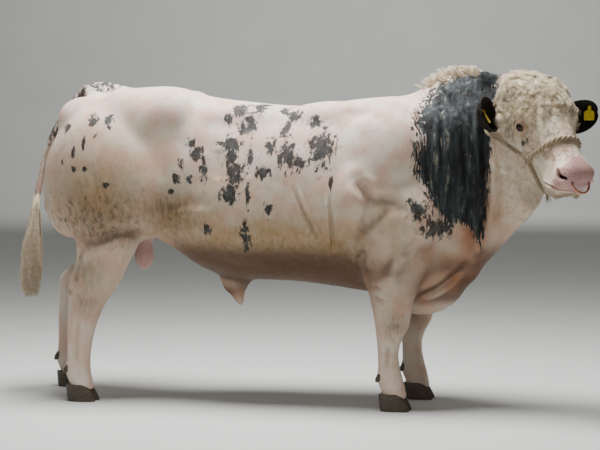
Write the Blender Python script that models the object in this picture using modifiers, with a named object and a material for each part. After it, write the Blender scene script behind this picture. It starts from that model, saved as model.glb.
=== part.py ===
"""Belgian Blue bull, standing with its head turned to its right, life size.

Metres, +Z up, floor at Z = 0. +X points to the head and +Y to the animal's left.
The flesh is built muscle by muscle, fused, and then parted into nodes with thin cuts.
"""

import math
import random

import bmesh
import bpy
import numpy as np
from mathutils import Matrix, Vector
from mathutils.bvhtree import BVHTree

# Driving sizes of the animal
WITHERS_HEIGHT = 1.45
GAP = 0.0003            # clear gap between nodes that touch
CENTRE_SHIFT = Vector((0.0036, 0.0301, 0.0))   # brings the middle of the model over the origin

# Mesh sizes
BODY_VOXEL = 0.014
BODY_SOFTENING = 18
BODY_TRIANGLES = 4650
HEAD_VOXEL = 0.007
HEAD_SOFTENING = 8
HEAD_TRIANGLES = 1750

# Head frame: poll, then turn to the right and nose down
POLL = Vector((1.088, -0.100, 1.463))
HEAD_YAW = math.radians(-49.0)
HEAD_PITCH = math.radians(36.7)


def head_matrix():
    """Head frame to world: X runs from poll to muzzle, Y to the animal's left, Z out of the forehead."""
    turn = Matrix.Rotation(HEAD_YAW, 4, "Z") @ Matrix.Rotation(HEAD_PITCH, 4, "Y")
    return Matrix.Translation(POLL) @ turn


HEAD = head_matrix()
HEAD_SEAM = Vector((1.050, -0.075, 1.550))   # a point on the seam between head and neck
SEAM_HEADING = math.radians(-40)
SEAM_LEAN = math.radians(12)

# Trunk sections: X, top Z, bottom Z, half width, Z of the widest level, squareness
TRUNK = [
    (-1.11, 1.290, 0.98, 0.080, 1.14, 2.0),
    (-1.03, 1.400, 0.90, 0.170, 1.18, 2.1),
    (-0.92, 1.475, 0.84, 0.235, 1.18, 2.3),
    (-0.76, 1.495, 0.79, 0.275, 1.16, 2.4),
    (-0.60, 1.495, 0.71, 0.290, 1.13, 2.4),
    (-0.44, 1.450, 0.61, 0.310, 1.08, 2.3),
    (-0.25, 1.425, 0.575, 0.340, 1.03, 2.3),
    (0.00, 1.404, 0.568, 0.362, 1.00, 2.3),
    (0.20, 1.424, 0.545, 0.364, 1.00, 2.3),
    (0.36, 1.442, 0.522, 0.345, 1.00, 2.2),
    (0.52, 1.450, 0.500, 0.315, 1.00, 2.1),
    (0.66, 1.455, 0.505, 0.260, 1.00, 2.0),
    (0.78, 1.430, 0.570, 0.190, 1.00, 2.0),
]

# Neck sections: X, Y, heading in degrees, top Z, bottom Z, half width, Z of the widest level, squareness
NECK = [
    (0.46, 0.000, 0, 1.430, 0.60, 0.290, 1.02, 2.0),
    (0.58, 0.000, 0, 1.478, 0.52, 0.275, 1.02, 2.0),
    (0.68, -0.005, -4, 1.535, 0.52, 0.245, 1.04, 1.9),
    (0.78, -0.020, -10, 1.560, 0.575, 0.215, 1.08, 1.8),
    (0.88, -0.045, -18, 1.552, 0.650, 0.190, 1.12, 1.8),
    (0.97, -0.060, -27, 1.530, 0.750, 0.166, 1.18, 1.8),
    (1.05, -0.095, -37, 1.490, 0.840, 0.142, 1.22, 1.9),
    (1.12, -0.160, -46, 1.400, 0.920, 0.108, 1.20, 2.0),
]

# Paired muscles: centre X, distance from the middle, Z; radii along X, Y, Z; lean in degrees about Y
MUSCLES = [
    # hindquarter
    (-0.90, 0.220, 1.080, 0.262, 0.185, 0.330, 0),
    (-1.050, 0.180, 1.060, 0.165, 0.160, 0.300, 8),
    (-0.960, 0.150, 1.290, 0.210, 0.140, 0.150, 25),
    (-0.740, 0.165, 1.330, 0.240, 0.140, 0.155, 4),
    (-0.585, 0.175, 1.350, 0.140, 0.125, 0.135, 0),
    (-0.730, 0.205, 1.030, 0.190, 0.135, 0.270, -14),
    (-0.915, 0.225, 0.870, 0.180, 0.130, 0.150, 0),
    # loin and back
    (-0.250, 0.140, 1.325, 0.350, 0.120, 0.090, 2),
    (0.180, 0.140, 1.325, 0.280, 0.125, 0.100, -3),
    # ribs and flank
    (-0.160, 0.215, 0.960, 0.360, 0.150, 0.310, 0),
    # shoulder
    (0.440, 0.240, 1.160, 0.200, 0.130, 0.230, 12),
    (0.430, 0.140, 1.325, 0.210, 0.130, 0.110, 0),
    (0.190, 0.270, 0.985, 0.160, 0.105, 0.210, 28),
    (0.345, 0.280, 1.000, 0.150, 0.112, 0.180, 20),
    (0.560, 0.240, 0.900, 0.150, 0.120, 0.185, -20),
    (0.470, 0.245, 0.740, 0.155, 0.110, 0.155, 0),
    # neck sides
    (0.700, 0.135, 1.200, 0.210, 0.120, 0.220, 35),
]

# Masses on the middle line: centre X, Y, Z; radii; lean
MIDDLE_MASSES = [
    (0.600, 0.0, 0.590, 0.210, 0.170, 0.170, -12),
    (0.730, 0.0, 0.760, 0.165, 0.190, 0.190, 0),
    (0.770, -0.01, 0.630, 0.120, 0.100, 0.080, -35),
    (-0.318, 0.0, 0.568, 0.080, 0.058, 0.075, -30),
    (-0.302, 0.0, 0.492, 0.036, 0.034, 0.062, -15),
    (-0.776, 0.0, 0.765, 0.046, 0.050, 0.070, 0),
    (-0.776, 0.0, 0.678, 0.057, 0.056, 0.080, 0),
]

# Leg sections, from the body down: Z, middle X, half length, half width
FORE_LEG = [
    (0.820, 0.500, 0.150, 0.110),
    (0.730, 0.495, 0.160, 0.108),
    (0.640, 0.497, 0.147, 0.100),
    (0.550, 0.488, 0.118, 0.086),
    (0.460, 0.489, 0.098, 0.074),
    (0.385, 0.489, 0.084, 0.070),
    (0.327, 0.476, 0.064, 0.057),
    (0.265, 0.470, 0.053, 0.047),
    (0.190, 0.476, 0.057, 0.048),
    (0.130, 0.483, 0.066, 0.058),
    (0.085, 0.498, 0.060, 0.060),
    (0.050, 0.505, 0.060, 0.060),
]
FORE_SPREAD = 0.215
FORE_LEAD = {"right": 0.0, "left": 0.03}

HIND_LEG = [
    (0.860, -0.870, 0.160, 0.110),
    (0.760, -0.872, 0.158, 0.105),
    (0.680, -0.890, 0.138, 0.092),
    (0.620, -0.918, 0.134, 0.080),
    (0.565, -0.940, 0.138, 0.070),
    (0.510, -0.965, 0.117, 0.062),
    (0.460, -0.982, 0.100, 0.057),
    (0.390, -1.000, 0.084, 0.050),
    (0.300, -1.015, 0.069, 0.045),
    (0.200, -1.023, 0.062, 0.045),
    (0.130, -1.026, 0.066, 0.056),
    (0.085, -1.010, 0.060, 0.060),
    (0.050, -1.003, 0.060, 0.060),
]
HIND_SPREAD = 0.245
HIND_LEAD = {"right": 0.0, "left": -0.235}
THIGH_LEAD = {"right": 0.0, "left": -0.03}
SIDE_SIGN = {"right": -1.0, "left": 1.0}

# Claws: height of the hair line, and rings of Z, middle X, half length, half width
HAIR_LINE = 0.080
CLAW_RINGS = [
    (0.0, 0.016, 0.068, 0.0300),
    (0.018, 0.012, 0.067, 0.0300),
    (0.050, 0.002, 0.060, 0.0285),
    (HAIR_LINE - GAP, -0.010, 0.050, 0.0270),
]
CLAW_SPREAD = 0.0315
DEWCLAW_HEIGHT = 0.150

# Tail: X, Z, radius along the middle plane
TAIL = [
    (-0.860, 1.462, 0.040),
    (-0.950, 1.480, 0.044),
    (-1.030, 1.479, 0.044),
    (-1.137, 1.402, 0.040),
    (-1.230, 1.262, 0.033),
    (-1.276, 1.163, 0.029),
    (-1.307, 1.060, 0.026),
    (-1.331, 0.918, 0.024),
]
TAIL_CUT_X = -1.195

# Switch: X, Z, half depth, half width
SWITCH = [
    (-1.340, 0.840, 0.036, 0.036),
    (-1.350, 0.740, 0.044, 0.046),
    (-1.362, 0.620, 0.046, 0.050),
    (-1.385, 0.520, 0.030, 0.034),
    (-1.405, 0.455, 0.008, 0.010),
]

# Head sections along the face: S, top, bottom, half width, widest level, squareness
SKULL = [
    (-0.12, 0.020, -0.280, 0.125, -0.12, 2.1),
    (-0.05, 0.065, -0.320, 0.142, -0.10, 2.2),
    (0.02, 0.088, -0.335, 0.152, -0.08, 2.3),
    (0.09, 0.098, -0.345, 0.160, -0.06, 2.4),
    (0.16, 0.090, -0.345, 0.162, -0.05, 2.4),
    (0.22, 0.070, -0.335, 0.150, -0.05, 2.3),
    (0.29, 0.045, -0.305, 0.122, -0.07, 2.3),
    (0.36, 0.026, -0.275, 0.098, -0.09, 2.3),
    (0.43, 0.010, -0.250, 0.086, -0.10, 2.3),
    (0.485, 0.000, -0.218, 0.092, -0.10, 2.4),
    (0.53, -0.010, -0.178, 0.096, -0.09, 2.5),
    (0.563, -0.026, -0.140, 0.082, -0.082, 2.3),
    (0.585, -0.055, -0.108, 0.044, -0.080, 2.0),
]

# Paired masses of the head: S, side, T; radii; lean about the side axis
HEAD_MASSES = [
    (0.140, 0.100, -0.190, 0.130, 0.058, 0.120, -12),
    (0.190, 0.120, 0.008, 0.070, 0.034, 0.036, 10),
    (0.060, 0.080, 0.015, 0.110, 0.075, 0.075, 0),
    (0.520, 0.055, -0.060, 0.052, 0.040, 0.038, 20),
    (0.475, 0.050, -0.152, 0.080, 0.042, 0.048, 8),
]
EAR_BASE = (0.090, 0.168, -0.105)       # S, side, T
EAR_STUB = 0.048
EAR_REACH = {"right": (0.35, 0.68, 0.64), "left": (0.00, 0.97, 0.23)}
EAR_OPENING = {"right": (0.48, -0.65, 0.59), "left": (0.89, -0.15, 0.42)}
EAR_LENGTH = 0.230
# Seat of each tag in its ear: along the ear, up, out of the cup, and lean out of it
TAG_SEAT = {"right": (0.125, 0.012, -0.034, 0.40), "left": (0.170, 0.030, -0.033, 0.20)}
EAR_WALL = 0.008
EYE_RADIUS = 0.022
EYE_PLACE = (0.222, 0.138, -0.034)
EYE_GAZE = (0.30, 0.94, 0.10)
LID_THICK = 0.006
NOSTRIL = (0.538, 0.077, -0.056)
MOUTH_LINE = [
    (0.458, 0.088, -0.170),
    (0.490, 0.094, -0.157),
    (0.524, 0.086, -0.142),
    (0.552, 0.058, -0.131),
    (0.567, 0.022, -0.127),
]
RING_RADIUS = 0.044
RING_THICK = 0.0045
RING_HOLE = (0.546, 0.0, -0.052)
ROPE_RADIUS = 0.0075

# Rope routes over the head: S and the angle round the head from its top, positive to the left
NOSE_ROUTE = [(0.322, -100), (0.345, -75), (0.372, -40), (0.386, 0), (0.372, 40), (0.345, 75), (0.322, 100)]
CHIN_ROUTE = [(0.323, -104), (0.375, -125), (0.430, -150), (0.452, 180), (0.430, 150), (0.375, 125), (0.323, 104)]
POLL_ROUTE = [(0.320, -102), (0.210, -104), (0.110, -110), (0.020, -106), (-0.035, -72), (-0.060, -32),
              (-0.062, 0), (-0.060, 32), (-0.035, 72), (0.020, 106), (0.110, 110), (0.210, 104), (0.320, 102)]

# Forehead curls: rows of S, how far they spread to each side, and how many; then their sizes
CURL_SEED = 7
CURL_ROWS = [(-0.015, 0.095, 5), (0.028, 0.125, 6), (0.072, 0.138, 6), (0.118, 0.136, 6), (0.162, 0.112, 5),
             (0.205, 0.078, 4)]
CURL_LENGTHS = (0.054, 0.062, 0.070)
CURL_WIDTH = 0.0170
CURL_THICK = 0.0100
CURL_SINK = 0.007

# Tufts along the crest of the neck
TUFT_SEED = 12
TUFT_SPAN = (0.655, 0.885)
TUFT_COUNT = 14
TUFT_LENGTHS = (0.034, 0.040, 0.047)
TUFT_WIDTH = 0.015

# Locks of the tail switch
SWITCH_SEED = 5
SWITCH_LOCKS = 16
SWITCH_LENGTHS = (0.24, 0.28, 0.32)
SWITCH_LOCK_WIDTH = 0.019
SWITCH_LOCK_THICK = 0.006

RING_POINTS = 28
STEPS_BETWEEN = 4


def clear_scene():
    """Empties the file it runs in."""
    for obj in list(bpy.data.objects):
        bpy.data.objects.remove(obj)


def smooth_rows(rows, steps=STEPS_BETWEEN):
    """Rows of section numbers with Catmull-Rom steps between them."""
    table = np.array(rows, float)
    padded = np.vstack([2 * table[0] - table[1], table, 2 * table[-1] - table[-2]])
    made = []
    for i in range(1, len(padded) - 2):
        p0, p1, p2, p3 = padded[i - 1:i + 3]
        for t in np.linspace(0, 1, steps, endpoint=False):
            made.append(0.5 * (2 * p1 + (p2 - p0) * t + (2 * p0 - 5 * p1 + 4 * p2 - p3) * t * t
                               + (3 * p1 - p0 - 3 * p2 + p3) * t ** 3))
    made.append(table[-1])
    return made


def oval(centre, across, up, half_width, half_up, half_down, squareness, count=RING_POINTS):
    """A closed ring of points: a superellipse whose upper and lower halves differ."""
    points = []
    for k in range(count):
        c, s = math.cos(2 * math.pi * k / count), math.sin(2 * math.pi * k / count)
        bend = 2.0 / squareness
        side = math.copysign(abs(c) ** bend, c) * half_width
        rise = math.copysign(abs(s) ** bend, s) * (half_up if s > 0 else half_down)
        points.append(centre + across * side + up * rise)
    return points


def add_loft(bm, rings):
    """Adds a closed skin through rings of equal count, capped at both ends."""
    made = [[bm.verts.new(p) for p in ring] for ring in rings]
    count = len(made[0])
    for lower, upper in zip(made, made[1:]):
        for k in range(count):
            after = (k + 1) % count
            bm.faces.new((lower[k], lower[after], upper[after], upper[k]))
    bm.faces.new(list(reversed(made[0])))
    bm.faces.new(made[-1])


def add_ball(bm, centre, radii, turn=None, detail=(20, 14)):
    """Adds an ellipsoid."""
    matrix = Matrix.Translation(centre) @ (turn or Matrix.Identity(4)) @ Matrix.Diagonal((*radii, 1.0))
    bmesh.ops.create_uvsphere(bm, u_segments=detail[0], v_segments=detail[1], radius=1.0, matrix=matrix)


def add_trunk(bm):
    """The barrel from buttocks to chest."""
    rings = []
    for x, top, bottom, half, level, square in smooth_rows(TRUNK):
        rings.append(oval(Vector((x, 0, level)), Vector((0, 1, 0)), Vector((0, 0, 1)),
                          half, top - level, level - bottom, square))
    add_loft(bm, rings)


def add_neck(bm):
    """The neck, turned to the right as it reaches the head."""
    rings = []
    for x, y, heading, top, bottom, half, level, square in smooth_rows(NECK):
        turn = math.radians(heading)
        across = Vector((-math.sin(turn), math.cos(turn), 0))
        rings.append(oval(Vector((x, y, level)), across, Vector((0, 0, 1)),
                          half, top - level, level - bottom, square))
    add_loft(bm, rings)


def add_muscles(bm):
    """The paired and middle muscle masses of the body."""
    for x, y, z, rx, ry, rz, lean in MUSCLES:
        turn = Matrix.Rotation(math.radians(lean), 4, "Y")
        for side, sign in SIDE_SIGN.items():
            shift = THIGH_LEAD[side] if x < -0.8 else 0.0
            add_ball(bm, Vector((x + shift, sign * y, z)), (rx, ry, rz), turn)
    for x, y, z, rx, ry, rz, lean in MIDDLE_MASSES:
        add_ball(bm, Vector((x, y, z)), (rx, ry, rz), Matrix.Rotation(math.radians(lean), 4, "Y"))


def add_leg(bm, sections, spread, lead, sign, top_lead=0.0):
    """One leg as level ovals; its lead fades out towards the body."""
    rings = []
    top_z = sections[0][0]
    for z, x, half_length, half_width in smooth_rows(sections, 3):
        share = min(1.0, max(0.0, (top_z - z) / (top_z - 0.55)))
        shift = top_lead + (lead - top_lead) * share
        rings.append(oval(Vector((x + shift, sign * spread, z)), Vector((1, 0, 0)), Vector((0, 1, 0)),
                          half_length, half_width, half_width, 2.1, 20))
    add_loft(bm, rings)


def add_head(bm):
    """The skull, cheeks, brows and muzzle, in the head frame."""
    rings = []
    for s, top, bottom, half, level, square in smooth_rows(SKULL):
        rings.append([HEAD @ p for p in oval(Vector((s, 0, level)), Vector((0, 1, 0)), Vector((0, 0, 1)),
                                             half, top - level, level - bottom, square, 36)])
    add_loft(bm, rings)
    for s, side, t, rs, rl, rt, lean in HEAD_MASSES:
        for sign in SIDE_SIGN.values():
            add_ball(bm, HEAD @ Vector((s, sign * side, t)), (rs, rl, rt),
                     HEAD.to_3x3().to_4x4() @ Matrix.Rotation(math.radians(lean), 4, "Y"))


def object_of(name, bm, collection):
    """A mesh object from a bmesh, with its faces turned outwards."""
    bmesh.ops.recalc_face_normals(bm, faces=bm.faces)
    mesh = bpy.data.meshes.new(name)
    bm.to_mesh(mesh)
    bm.free()
    obj = bpy.data.objects.new(name, mesh)
    collection.objects.link(obj)
    return obj


def bake(obj):
    """Makes the object's modifiers part of its mesh."""
    bpy.context.view_layer.update()
    graph = bpy.context.evaluated_depsgraph_get()
    mesh = bpy.data.meshes.new_from_object(obj.evaluated_get(graph), depsgraph=graph)
    obj.modifiers.clear()
    old = obj.data
    obj.data = mesh
    bpy.data.meshes.remove(old)
    mesh.name = obj.name
    return obj


def triangle_count(obj):
    """Triangles of the object's own mesh."""
    return sum(len(p.vertices) - 2 for p in obj.data.polygons)


def fuse(obj, voxel, rounds, triangles):
    """Joins overlapping masses into one soft surface of about so many triangles."""
    remesh = obj.modifiers.new("fuse", "REMESH")
    remesh.mode = "VOXEL"
    remesh.voxel_size = voxel
    soften = obj.modifiers.new("soften", "SMOOTH")
    soften.factor = 0.5
    soften.iterations = rounds
    bake(obj)
    thin = obj.modifiers.new("thin", "DECIMATE")
    thin.ratio = triangles / triangle_count(obj)
    return bake(obj)


def remove(obj):
    """Takes an object and its mesh out of the file."""
    mesh = obj.data
    bpy.data.objects.remove(obj)
    bpy.data.meshes.remove(mesh)


def carve(obj, cutter, operation):
    """Cuts an object with a cutter that is used up."""
    cutter.hide_render = True
    cutter.display_type = "WIRE"
    cut = obj.modifiers.new("cut", "BOOLEAN")
    cut.operation = operation
    cut.solver = "EXACT"
    cut.object = cutter
    bake(obj)
    remove(cutter)
    return keep_largest(obj)


def keep_largest(obj):
    """Keeps only the largest closed surface of the object."""
    bm = bmesh.new()
    bm.from_mesh(obj.data)
    islands = []
    left = set(bm.faces)
    while left:
        start = left.pop()
        island = {start}
        edge_of = [start]
        while edge_of:
            face = edge_of.pop()
            for edge in face.edges:
                for other in edge.link_faces:
                    if other in left:
                        left.remove(other)
                        island.add(other)
                        edge_of.append(other)
        islands.append(island)
    islands.sort(key=lambda faces: sum(face.calc_area() for face in faces))
    loose = [face for island in islands[:-1] for face in island]
    if loose:
        bmesh.ops.delete(bm, geom=loose, context="FACES")
    bmesh.ops.triangulate(bm, faces=bm.faces)
    bm.to_mesh(obj.data)
    bm.free()
    return obj


def copy_of(obj, name):
    """A second object with a mesh of its own."""
    twin = bpy.data.objects.new(name, obj.data.copy())
    obj.users_collection[0].objects.link(twin)
    twin.data.name = name
    return twin


def box(name, low, high, cutters, frame=None, grow=0.0):
    """A box between two corners, in a frame if one is given."""
    low = Vector(low) - Vector((grow,) * 3)
    high = Vector(high) + Vector((grow,) * 3)
    bm = bmesh.new()
    matrix = (frame or Matrix.Identity(4)) @ Matrix.Translation((low + high) / 2) @ Matrix.Diagonal((*(high - low), 1))
    bmesh.ops.create_cube(bm, size=1.0, matrix=matrix)
    return object_of(name, bm, cutters)


def plug(frame, radius, length, cutters):
    """A short round cutter along the X of a frame."""
    bm = bmesh.new()
    rings = []
    for reach in (0.0, length):
        rings.append([frame @ p for p in oval(Vector((reach, 0, 0)), Vector((0, 1, 0)), Vector((0, 0, 1)),
                                              radius, radius, radius, 2.0, 12)])
    add_loft(bm, rings)
    return object_of("plug", bm, cutters)


def part_off(flesh, name, low, high, cutters, frame=None):
    """Takes the piece of flesh inside a box as a node, and leaves the rest a gap away."""
    piece = copy_of(flesh, name)
    carve(piece, box("cutter", low, high, cutters, frame), "INTERSECT")
    carve(flesh, box("cutter", low, high, cutters, frame, GAP), "DIFFERENCE")
    return piece


def along(point, direction, roll=Vector((0, 0, 1))):
    """A frame at a point whose X runs along a direction and whose Z leans to the roll vector."""
    x_axis = Vector(direction).normalized()
    y_axis = roll.cross(x_axis).normalized()
    z_axis = x_axis.cross(y_axis)
    matrix = Matrix((x_axis, y_axis, z_axis)).transposed().to_4x4()
    matrix.translation = point
    return matrix


def head_point(s, side, t):
    """A point of the head frame in the world."""
    return HEAD @ Vector((s, side, t))


def head_way(s, side, t):
    """A direction of the head frame in the world."""
    return (HEAD.to_3x3() @ Vector((s, side, t))).normalized()


def body_flesh(collection):
    """The whole body without head, as one surface."""
    bm = bmesh.new()
    add_trunk(bm)
    add_neck(bm)
    add_muscles(bm)
    add_tail(bm, TAIL)
    for side, sign in SIDE_SIGN.items():
        add_leg(bm, FORE_LEG, FORE_SPREAD, FORE_LEAD[side], sign)
        add_leg(bm, HIND_LEG, HIND_SPREAD, HIND_LEAD[side], sign, THIGH_LEAD[side])
    return fuse(object_of("body_flesh", bm, collection), BODY_VOXEL, BODY_SOFTENING, BODY_TRIANGLES)


def head_flesh(collection):
    """The head and the neck behind it, as one surface."""
    bm = bmesh.new()
    add_neck(bm)
    add_head(bm)
    for side, sign in SIDE_SIGN.items():
        add_ball(bm, head_point(EAR_BASE[0], sign * (EAR_BASE[1] - 0.028), EAR_BASE[2]), (EAR_STUB,) * 3)
    return fuse(object_of("head_flesh", bm, collection), HEAD_VOXEL, HEAD_SOFTENING, HEAD_TRIANGLES)


def add_tail(bm, rows):
    """The tail as a tube in the middle plane."""
    table = smooth_rows(rows, 3)
    rings = []
    for i, (x, z, radius) in enumerate(table):
        before, after = table[max(i - 1, 0)], table[min(i + 1, len(table) - 1)]
        if i == len(table) - 1:
            before, after = rows[-2], rows[-1]
        way = Vector((after[0] - before[0], 0, after[1] - before[1])).normalized()
        rings.append(oval(Vector((x, 0, z)), Vector((0, 1, 0)), Vector((0, 1, 0)).cross(way),
                          radius, radius, radius, 2.0, 10))
    add_loft(bm, rings)


def cup_half_width(u):
    """Half width of the ear at a share u of its length: a stalk that opens and a round tip."""
    if u < 0.5:
        return 0.026 + 0.047 * math.sin(math.pi * u)
    return 0.012 + 0.061 * math.sqrt(max(0.0, 1 - ((u - 0.5) / 0.5) ** 2))


def ear_ways(side, sign):
    """Directions of one ear: along it, out of its cup, and across it."""
    reach = head_way(EAR_REACH[side][0], sign * EAR_REACH[side][1], EAR_REACH[side][2])
    opening = head_way(EAR_OPENING[side][0], sign * EAR_OPENING[side][1], EAR_OPENING[side][2])
    opening = (opening - reach * opening.dot(reach)).normalized()
    return reach, opening, opening.cross(reach)


def make_ear(side, sign, collection):
    """One cupped ear with a rim."""
    reach, opening, width_way = ear_ways(side, sign)
    base = head_point(EAR_BASE[0], sign * EAR_BASE[1], EAR_BASE[2]) + reach * GAP
    lengths, folds = 9, 9
    layers = []
    for outer_layer in (False, True):
        rows = []
        for i in range(lengths + 1):
            u = math.sin(math.pi / 2 * i / lengths) ** 0.85
            wall = EAR_WALL * (1 - 0.35 * u) if outer_layer else 0.0
            spread = math.radians(100 - 48 * u)
            radius = cup_half_width(u) / math.sin(min(spread, math.pi / 2))
            row = []
            for k in range(folds + 1):
                angle = spread * (2 * k / folds - 1)
                row.append(base + reach * u * EAR_LENGTH + width_way * (radius + wall) * math.sin(angle)
                           + opening * (radius * math.cos(spread) - (radius + wall) * math.cos(angle)
                                        - 0.020 * u * u))
            rows.append(row)
        layers.append(rows)
    bm = bmesh.new()
    inner, outer = [[[bm.verts.new(p) for p in row] for row in rows] for rows in layers]
    for i in range(lengths):
        for k in range(folds):
            bm.faces.new((inner[i][k], inner[i + 1][k], inner[i + 1][k + 1], inner[i][k + 1]))
            bm.faces.new((outer[i][k], outer[i][k + 1], outer[i + 1][k + 1], outer[i + 1][k]))
        for k in (0, folds):
            bm.faces.new((inner[i][k], outer[i][k], outer[i + 1][k], inner[i + 1][k]))
    for i in (0, lengths):
        for k in range(folds):
            bm.faces.new((inner[i][k], inner[i][k + 1], outer[i][k + 1], outer[i][k]))
    return object_of("ear_" + side, bm, collection)


def make_eye(side, sign, radius, collection, name):
    """The eyeball, or the hollow for it when the radius is larger."""
    bm = bmesh.new()
    matrix = along(head_point(EYE_PLACE[0], sign * EYE_PLACE[1], EYE_PLACE[2]),
                   head_way(EYE_GAZE[0], sign * EYE_GAZE[1], EYE_GAZE[2]))
    turn = matrix @ Matrix.Rotation(math.pi / 2, 4, "Y")
    bmesh.ops.create_uvsphere(bm, u_segments=12, v_segments=8, radius=radius, matrix=turn)
    return object_of(name, bm, collection)


def make_lids(side, sign, collection):
    """Upper and lower lid as one shell round the eye, open like an almond."""
    centre = head_point(EYE_PLACE[0], sign * EYE_PLACE[1], EYE_PLACE[2])
    gaze = head_way(EYE_GAZE[0], sign * EYE_GAZE[1], EYE_GAZE[2])
    front = head_way(1, 0, -0.25)
    front = (front - gaze * front.dot(gaze)).normalized()
    rise = gaze.cross(front) * (-sign)
    around = 16
    rings = []
    for wall, polar_share in ((0.0008, 1.0), (0.0008, 0.5), (0.0008, 0.0), (LID_THICK, 0.0), (LID_THICK, 0.5),
                              (LID_THICK * 0.6, 1.0)):
        ring = []
        for k in range(around):
            turn = 2 * math.pi * k / around
            c, s = math.cos(turn), math.sin(turn)
            opening = math.radians(1.0 / math.hypot(c / 64.0, s / (30.0 if s > 0 else 34.0)))
            polar = opening + (math.radians(118) - opening) * polar_share
            way = gaze * math.cos(polar) + (front * c + rise * s) * math.sin(polar)
            ring.append(centre + way * (EYE_RADIUS + wall))
        rings.append(ring)
    bm = bmesh.new()
    made = [[bm.verts.new(p) for p in ring] for ring in rings]
    for j in range(len(made)):
        lower, upper = made[j], made[(j + 1) % len(made)]
        for k in range(around):
            after = (k + 1) % around
            bm.faces.new((lower[k], lower[after], upper[after], upper[k]))
    return object_of("lids", bm, collection)


def nostril_cutter(sign, cutters):
    """The hollow of one nostril."""
    bm = bmesh.new()
    turn = HEAD.to_3x3().to_4x4() @ Matrix.Rotation(math.radians(sign * 42), 4, "Z")
    turn = turn @ Matrix.Rotation(math.radians(24), 4, "Y")
    add_ball(bm, head_point(NOSTRIL[0], sign * NOSTRIL[1], NOSTRIL[2]), (0.034, 0.020, 0.019), turn, (12, 8))
    return object_of("nostril", bm, cutters)


def mouth_cutter(cutters):
    """A thin wedge along the line of the mouth."""
    right = [Vector((s, -side, t)) for s, side, t in MOUTH_LINE]
    left = [Vector((s, side, t)) for s, side, t in reversed(MOUTH_LINE)]
    points = right + left
    inner_point = Vector((0.455, 0.0, -0.140))
    rings = []
    for p in points:
        out = Vector((p.x - inner_point.x, p.y, 0)).normalized()
        ring = []
        for reach, half in ((0.030, 0.006), (0.030, -0.006), (-0.014, -0.0012), (-0.014, 0.0012)):
            ring.append(HEAD @ (p + out * reach + Vector((0, 0, half))))
        rings.append(ring)
    bm = bmesh.new()
    add_loft(bm, rings)
    return object_of("mouth", bm, cutters)


def ring_frame():
    """The frame of the nose ring: its Y runs through the ring."""
    hang = head_way(0.82, 0, -0.57)
    across = head_way(0, 1, 0)
    matrix = Matrix((hang, across, hang.cross(across))).transposed().to_4x4()
    matrix.translation = head_point(*RING_HOLE) + hang * RING_RADIUS
    return matrix


def make_ring(name, thick, collection):
    """The ring through the nose, or the hole for it when thicker."""
    frame = ring_frame()
    rings = []
    around, sides = 22, 6
    bm = bmesh.new()
    for i in range(around):
        turn = 2 * math.pi * i / around
        ring = []
        for k in range(sides):
            swell = 2 * math.pi * k / sides
            reach = RING_RADIUS + thick * math.cos(swell)
            ring.append(bm.verts.new(frame @ Vector((reach * math.cos(turn), reach * math.sin(turn),
                                                     thick * math.sin(swell)))))
        rings.append(ring)
    for i in range(around):
        lower, upper = rings[i], rings[(i + 1) % around]
        for k in range(sides):
            after = (k + 1) % sides
            bm.faces.new((lower[k], lower[after], upper[after], upper[k]))
    return object_of(name, bm, collection)


def surface_finder(obj):
    """A search tree of the object's surface."""
    bm = bmesh.new()
    bm.from_mesh(obj.data)
    tree = BVHTree.FromBMesh(bm)
    bm.free()
    return tree


def rope_route(trees, route, clearance):
    """Points just over the flesh along a route of stations and angles round the head."""
    rows = []
    previous = None
    for s, angle in route:
        if previous is not None:
            while angle - previous > 180:
                angle -= 360
            while previous - angle > 180:
                angle += 360
        previous = angle
        rows.append((s, angle))
    points = []
    for s, angle in smooth_rows(rows, 2):
        turn = math.radians(angle)
        axis_point = head_point(s, 0, -0.12)
        way = head_way(0, math.sin(turn), math.cos(turn))
        hit = trees[0].ray_cast(axis_point + way * 0.6, -way)
        points.append(hit[0] + way * clearance)
    for _ in range(12):
        pushed = []
        for i, p in enumerate(points):
            if 0 < i < len(points) - 1:
                p = p * 0.5 + (points[i - 1] + points[i + 1]) * 0.25
            pushed.append(clear_point(p, trees, clearance))
        points = pushed
    return points


def clear_point(p, trees, clearance):
    """The point moved out until it is clear of every surface."""
    for tree in trees:
        place, normal, _, distance = tree.find_nearest(p)
        inside = (p - place).dot(normal) < 0
        if inside or distance < clearance:
            p = place + normal * clearance
    return p


def rope(points, radius, name, collection, sides=6):
    """A round rope along points."""
    rings = []
    for i, p in enumerate(points):
        before, after = points[max(i - 1, 0)], points[min(i + 1, len(points) - 1)]
        frame = along(p, after - before, Vector((0.3, 0.2, 0.93)))
        across, up = frame.col[1].to_3d(), frame.col[2].to_3d()
        rings.append(oval(p, across, up, radius, radius, radius, 2.0, sides))
    bm = bmesh.new()
    add_loft(bm, rings)
    return object_of(name, bm, collection)


def union_of(pieces, name, collection):
    """Fuses closed pieces into one node."""
    base = pieces[0]
    base.name = name
    for piece in pieces[1:]:
        join = base.modifiers.new("join", "BOOLEAN")
        join.operation = "UNION"
        join.solver = "EXACT"
        join.object = piece
    bake(base)
    for piece in pieces[1:]:
        remove(piece)
    if collection not in base.users_collection:
        collection.objects.link(base)
    return keep_largest(base)


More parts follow.
